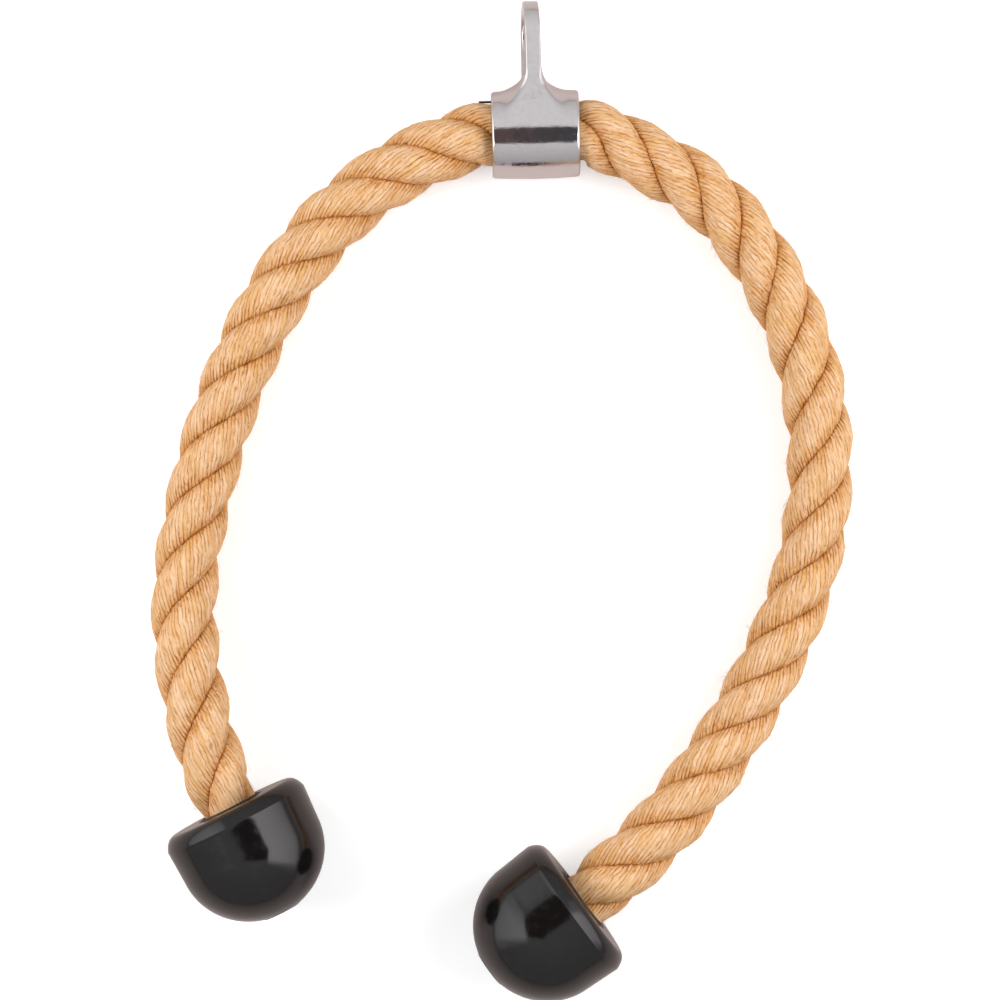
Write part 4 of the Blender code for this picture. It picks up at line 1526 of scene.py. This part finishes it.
@dataclass(frozen=True)
class CapSizes:
    """The sizes of an end cap and its plug and collar, in millimetres and degrees."""

    radius: float = 36.4
    taper: float = 0.8
    rim: float = 6.5
    rim_turn: float = 72.0
    rim_crease: float = 0.3
    rim_bead: float = 0.04
    rim_pulls: Pair = (0.55, 0.5)
    skirt: float = 23.2
    dome: float = 34.1
    mouth: float = 16.8
    mouth_edge: float = 0.6
    mouth_length: float = 10.0
    cavity: float = 20.0
    cavity_depth: float = 36.2
    plug: float = 9.7
    plug_gap: float = 0.3
    plug_foot: float = 0.3
    hole_edge: float = 0.25
    plug_length: float = 9.0
    plug_proud: float = 0.4
    plug_edge: float = 0.6
    collar_inner: float = 15.5
    collar_outer: float = 16.5
    collar_draw: float = 1.5
    collar_lip: float = 0.65
    collar_depth: float = 9.5

    def pole_depth(self) -> float:
        """How deep the cap is at the edge of the plug's hole."""
        share = (self.plug + self.plug_gap) / (self.radius - self.taper)
        return self.skirt + self.dome * math.sqrt(1.0 - share * share)


@dataclass
class EndCap:
    """One domed cap with its plug and the collar of tape at its mouth."""

    route: ArmRoute
    sizes: CapSizes
    steps: int = 144
    rim_steps: int = 14
    skirt_steps: int = 8
    dome_steps: int = 43
    lip_steps: int = 4
    plug_steps: int = 5
    collar_steps: int = 6
    sharp_angle: float = 34.0

    def shell_outline(self) -> list[Pair]:
        """The cap's wall as radius and depth from its face, all the way round."""
        s = self.sizes
        turn = math.radians(s.rim_turn)
        lean = np.array([math.cos(turn), math.sin(turn)])
        first, last = np.array([s.radius - s.rim, 0.0]), np.array([s.radius, s.rim]) - s.rim_crease * lean
        pulls = (first + (s.rim_pulls[0] * s.rim, 0.0), last - s.rim_pulls[1] * s.rim * lean)
        rim = [tuple(point) for point in pulled_curve((first, *pulls, last), self.rim_steps)]
        shares = [s.rim_crease / (s.skirt - s.rim), *np.linspace(0.0, 1.0, self.skirt_steps + 1)[1:-1]]
        skirt = [(s.radius - s.taper * share, s.rim + (s.skirt - s.rim) * share) for share in shares]
        base, hole = s.radius - s.taper, s.plug + s.plug_gap
        turns = np.linspace(0.0, math.acos(hole / base), self.dome_steps + 1)
        dome = [(base * math.cos(turn), s.skirt + s.dome * math.sin(turn)) for turn in turns]
        inside = [
            (hole - s.hole_edge, dome[-1][1] - s.hole_edge),
            (hole - s.hole_edge, s.cavity_depth),
            (s.cavity, s.cavity_depth),
            (s.mouth, s.mouth_length),
            (s.mouth, s.mouth_edge),
        ]
        lip = arc((s.mouth + s.mouth_edge, s.mouth_edge), s.mouth_edge, 180.0, 270.0, self.lip_steps)[1:]
        return [*rim, (s.radius + s.rim_bead, s.rim), *skirt, *dome, *inside, *lip]

    def plug_outline(self) -> list[Pair]:
        """The plug as radius and depth."""
        s = self.sizes
        top = s.pole_depth() + s.plug_proud
        edge = arc((s.plug - s.plug_edge, top - s.plug_edge), s.plug_edge, 0.0, 90.0, self.plug_steps)
        low = top - s.plug_length
        return [(0.0, low), (s.plug - s.plug_foot, low), *edge, (0.0, top)]

    def collar_outline(self) -> list[Pair]:
        """The collar of tape as radius and depth, its lip rounded."""
        s = self.sizes
        half = (s.collar_outer - s.collar_inner) / 2.0
        centre = (s.collar_inner - s.collar_draw + half, half - s.collar_lip)
        lip = arc(centre, half, 180.0, 360.0, self.collar_steps)
        low = s.collar_depth / 2.0
        outside = [(s.collar_outer, low), (s.collar_outer, s.collar_depth)]
        return [*lip, *outside, (s.collar_inner, s.collar_depth), (s.collar_inner, low)]

    def turn(
        self,
        tree: LatheTree,
        name: str,
        outline: list[Pair],
        material: bpy.types.Material,
        closed: bool,
    ) -> bpy.types.Object:
        """Turns one piece and puts it on the rope's end.

        Args:
            tree: The tree that turns outlines.
            name: The piece's name.
            outline: Its radii and depths.
            material: Its material.
            closed: Whether the outline runs on to its start.

        Returns:
            The piece, riding on the arm.
        """
        points = outline + outline[:1] if closed else outline
        mesh = bpy.data.meshes.new("outline")
        mesh.from_pydata([(radius * MM, 0.0, depth * MM) for radius, depth in points], [], [])
        side = self.route.side.value
        piece = tree.run(f"{side}_{name}", mesh, {"Steps": self.steps, "Material": material})
        for extra in ("row", "column"):
            piece.data.attributes.remove(piece.data.attributes[extra])
        z = Vector(self.route.axis())
        y = Vector(UP)
        turned = Matrix((y.cross(z), y, z)).transposed().to_4x4()
        piece.data.transform(Matrix.Translation(Vector(self.route.face_middle()) * MM) @ turned)
        outward(piece.data)
        piece.data.shade_smooth()
        piece.data.set_sharp_from_angle(angle=math.radians(self.sharp_angle))
        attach(piece, f"{side}_lower_arm")
        LOG.info("%s: %d faces", piece.name, len(piece.data.polygons))
        return piece

    def build(self, tree: LatheTree, finishes: Finishes) -> None:
        """Makes the cap's own pieces and dresses those hidden in it.

        Args:
            tree: The tree that turns outlines.
            finishes: The built materials.
        """
        side = self.route.side.value
        made = (
            ("moulded_cap", self.shell_outline(), finishes.moulding, True, "cap", "black_plastic"),
            ("pole_plug", self.plug_outline(), finishes.moulding, False, "plug", "black_plastic"),
            ("mouth_collar", self.collar_outline(), finishes.tape, True, "cap_tape", "black_tape"),
        )
        for name, outline, material, closed, node, slot in made:
            piece = self.turn(tree, name, outline, material, closed)
            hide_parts(f"{side}_{node}")
        hidden = {"wedge": finishes.wedge, "washer": finishes.steel, "cap_screw": finishes.steel}
        for name, material in hidden.items():
            dress_node(f"{side}_{name}", material)


def outward(mesh: bpy.types.Mesh) -> None:
    """Turns a closed mesh's faces round if they point inwards."""
    corners = [[mesh.vertices[i].co for i in face.vertices[:3]] for face in mesh.polygons]
    first, second, third = np.array(corners).transpose(1, 0, 2)
    if np.einsum("ij,ij->", first, np.cross(second, third)) < 0.0:
        mesh.flip_normals()


@dataclass(frozen=True)
class SoftLight:
    """One soft box: where it hangs, what it faces, its size and its strength."""

    name: str
    place: Triple
    target: Triple
    size: Pair
    power: float

    def build(self) -> None:
        """Hangs the light."""
        data = bpy.data.lights.new(self.name, "AREA")
        data.shape = "RECTANGLE"
        data.size, data.size_y = self.size
        data.energy = self.power
        light = put(self.name, data)
        light.location = self.place
        light.rotation_euler = (Vector(self.target) - Vector(self.place)).to_track_quat("-Z", "Y").to_euler()
        light.visible_glossy = False


@dataclass(frozen=True)
class ReflectionCard:
    """A sheet in the studio that only reflections see, hung between two edges.

    Each edge is a row of points, X and Y, at its own level, and how bright the card is at each is kept beside
    it. The card's colour turns from the left one to the right one between two places along X.
    """

    name: str
    levels: Pair
    upper: tuple[Pair, ...]
    lower: tuple[Pair, ...]
    bright: tuple[tuple[float, ...], tuple[float, ...]]
    left_colour: Colour = WHITE
    right_colour: Colour = WHITE
    turn: Pair = (0.065, 0.09)
    mottle: float = 0.25
    mottle_scale: float = 45.0

    def build(self) -> None:
        """Hangs the card."""
        mesh = bpy.data.meshes.new(self.name)
        edges = zip((self.upper, self.lower), self.levels)
        places = [(x, y, level) for edge, level in edges for x, y in edge]
        count = len(self.upper)
        mesh.from_pydata(places, [], [(i, i + 1, count + i + 1, count + i) for i in range(count - 1)])
        bright = mesh.attributes.new("brightness", "FLOAT", "POINT")
        bright.data.foreach_set("value", [*self.bright[0], *self.bright[1]])
        card = put(self.name, mesh)
        dress = Dress(self.name)
        place = dress.place()
        x, _, _ = dress.parted(place)
        tone = dress.blend(dress.smooth_step(x, *self.turn), self.left_colour, self.right_colour)
        cloud = dress.noise(place, self.mottle_scale, 3.0, 0.7)
        strength = dress.attribute("brightness") * (1.0 + self.mottle * 2.0 * (cloud - 0.5))
        mesh.materials.append(dress.surface(dress.glow(tone, strength)))
        for use in ("camera", "diffuse", "shadow", "transmission"):
            setattr(card, f"visible_{use}", False)


@dataclass
class Studio:
    """The camera over the object, the white table it lies on and the soft light round it."""

    QUARTERS: ClassVar[tuple[tuple[int, int], ...]] = ((-1, -1), (1, -1), (1, 1), (-1, 1))
    middle: Pair = (0.0508, -0.0008)
    height: float = 1.5
    focal_pixels: float = 3028.0
    frame_pixels: float = 1000.0
    sensor: float = 36.0
    ambient: float = 0.385
    horizon: Colour = (0.55, 0.53, 0.525)
    zenith: Colour = (0.89, 0.88, 0.89)
    far_side: float = 0.14
    paper: Colour = (0.82, 0.75, 0.72)
    mirrored_paper: Colour = (0.74, 0.63, 0.60)
    seen_paper: Colour = (0.9, 0.9, 0.9)
    extra: float = 0.42
    table_level: float = -0.0005
    table_half: float = 6.0
    view_distance: float = 20.0
    lights: tuple[SoftLight, ...] = (
        SoftLight("left_soft_box", (-0.85, 0.15, 0.85), (0.05, 0.0, 0.0), (0.9, 1.0), 10.0),
        SoftLight("right_soft_box", (0.95, 0.15, 0.85), (0.05, 0.0, 0.0), (0.9, 1.0), 10.9),
    )
    cards: tuple[ReflectionCard, ...] = (
        ReflectionCard(
            "dark_ceiling",
            levels=(0.95, 0.95),
            upper=((-0.585, 0.24), (-0.50, 0.345), (0.07, 0.39), (0.50, 0.35), (0.56, 0.27)),
            lower=((-0.45, -0.25), (-0.38, -0.325), (0.07, -0.34), (0.40, -0.335), (0.47, -0.28)),
            bright=((1.3, 1.0, 1.0, 1.0, 1.0), (1.3, 1.0, 1.0, 1.0, 1.0)),
            left_colour=(0.125, 0.086, 0.084),
            right_colour=(0.070, 0.066, 0.072),
            mottle=0.9,
        ),
        ReflectionCard(
            "right_glow",
            levels=(0.95, 0.28),
            upper=((0.47, -0.50), (0.47, -0.31), (0.47, 0.05), (0.49, 0.17), (0.62, 0.60)),
            lower=((1.9, -1.15), (1.9, -0.80), (1.9, 0.50), (1.9, 0.75), (1.9, 1.40)),
            bright=((0.9, 4.1, 4.1, 1.6, 1.2), (0.7, 1.7, 1.7, 1.1, 1.0)),
            left_colour=(1.0, 0.96, 0.96),
            right_colour=(1.0, 0.96, 0.96),
        ),
        ReflectionCard(
            "left_glow",
            levels=(0.95, 0.10),
            upper=((-0.45, -0.52), (-0.45, -0.33), (-0.58, 0.28), (-0.82, 0.64), (-1.00, 0.88)),
            lower=((-2.0, -1.15), (-2.0, -0.65), (-2.0, 1.30), (-2.4, 2.40), (-2.6, 2.90)),
            bright=((0.9, 2.9, 1.9, 1.3, 0.9), (0.9, 1.4, 1.3, 1.1, 0.9)),
        ),
    )

    def build(self) -> None:
        """Sets up camera, table, cards, lights and world."""
        self.hang_camera()
        self.lay_table()
        for piece in (*self.cards, *self.lights):
            piece.build()
        self.light_world()
        bpy.context.scene.view_settings.view_transform = "Standard"

    def hang_camera(self) -> None:
        """Hangs the camera straight over the middle of the picture."""
        data = bpy.data.cameras.new("overhead_camera")
        data.sensor_width = self.sensor
        data.lens = self.focal_pixels * self.sensor / self.frame_pixels
        data.clip_end = self.view_distance
        camera = put(data.name, data)
        camera.location = (*self.middle, self.height)
        bpy.context.scene.camera = camera

    def lay_table(self) -> None:
        """Lays the white table. The camera sees it brighter, so it comes out white round the shadow."""
        mesh = bpy.data.meshes.new("table")
        corners = [(x * self.table_half, y * self.table_half, self.table_level) for x, y in self.QUARTERS]
        mesh.from_pydata(corners, [], [range(len(corners))])
        table = put(mesh.name, mesh)
        dress = Dress("white_table")
        seen, mirrored = dress.light_path()
        tone = dress.blend(seen, dress.blend(mirrored, self.paper, self.mirrored_paper), self.seen_paper)
        paper = dress.add("ShaderNodeBsdfDiffuse", None, {"Color": tone})
        glow = dress.glow(WHITE, seen * self.extra)
        mesh.materials.append(dress.surface(dress.add("ShaderNodeAddShader", None, {0: paper, 1: glow})))

    def light_world(self) -> None:
        """Lights everything softly from all sides, with a white background."""
        world = bpy.data.worlds.new("soft_room")
        world.use_nodes = True
        world.node_tree.nodes.clear()
        graph = Graph(world.node_tree)
        seen, mirrored = graph.light_path()
        _, ahead, height = graph.parted(graph.add("ShaderNodeTexCoord", output="Generated"))
        room = graph.blend(height, self.horizon, self.zenith)
        room = graph.scaled(room, 1.0 + self.far_side * ahead)
        tone = graph.blend(seen, graph.blend(mirrored, (self.ambient,) * 3, room), WHITE)
        sky = graph.add("ShaderNodeBackground", None, {"Color": tone, "Strength": 1.0})
        graph.add("ShaderNodeOutputWorld", None, {"Surface": sky})
        bpy.context.scene.world = world


def main() -> None:
    """Builds the scene: the studio first, then the rope, the casting and the caps."""
    logging.basicConfig(level=logging.INFO, format="%(message)s")
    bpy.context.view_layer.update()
    strands = StrandSizes()
    finishes = Finishes(
        rope=RopeFibre(strands.yarns).build(),
        chrome=CHROME.build(),
        moulding=BLACK_MOULDING.build(),
        tape=BLACK_TAPE.build(),
        steel=ZINC_STEEL.build(),
        wedge=GREY_MOULDING.build(),
    )
    Studio().build()
    sleeve = SleeveSizes()
    strand_tree = StrandTree(strands)
    left_arm = RopeArm(LEFT_ROUTE, sleeve, strands, lay_length=87.7, start_turn=0.153, seed=3.0)
    right_arm = RopeArm(RIGHT_ROUTE, sleeve, strands, lay_length=86.7, start_turn=0.089, seed=11.0)
    for arm in (left_arm, right_arm):
        arm.build(strand_tree, finishes.rope)
    EyeSleeve(sleeve).build(finishes)
    lathe = LatheTree()
    for route in (LEFT_ROUTE, RIGHT_ROUTE):
        EndCap(route, CapSizes()).build(lathe, finishes)


if __name__ == "__main__":
    main()
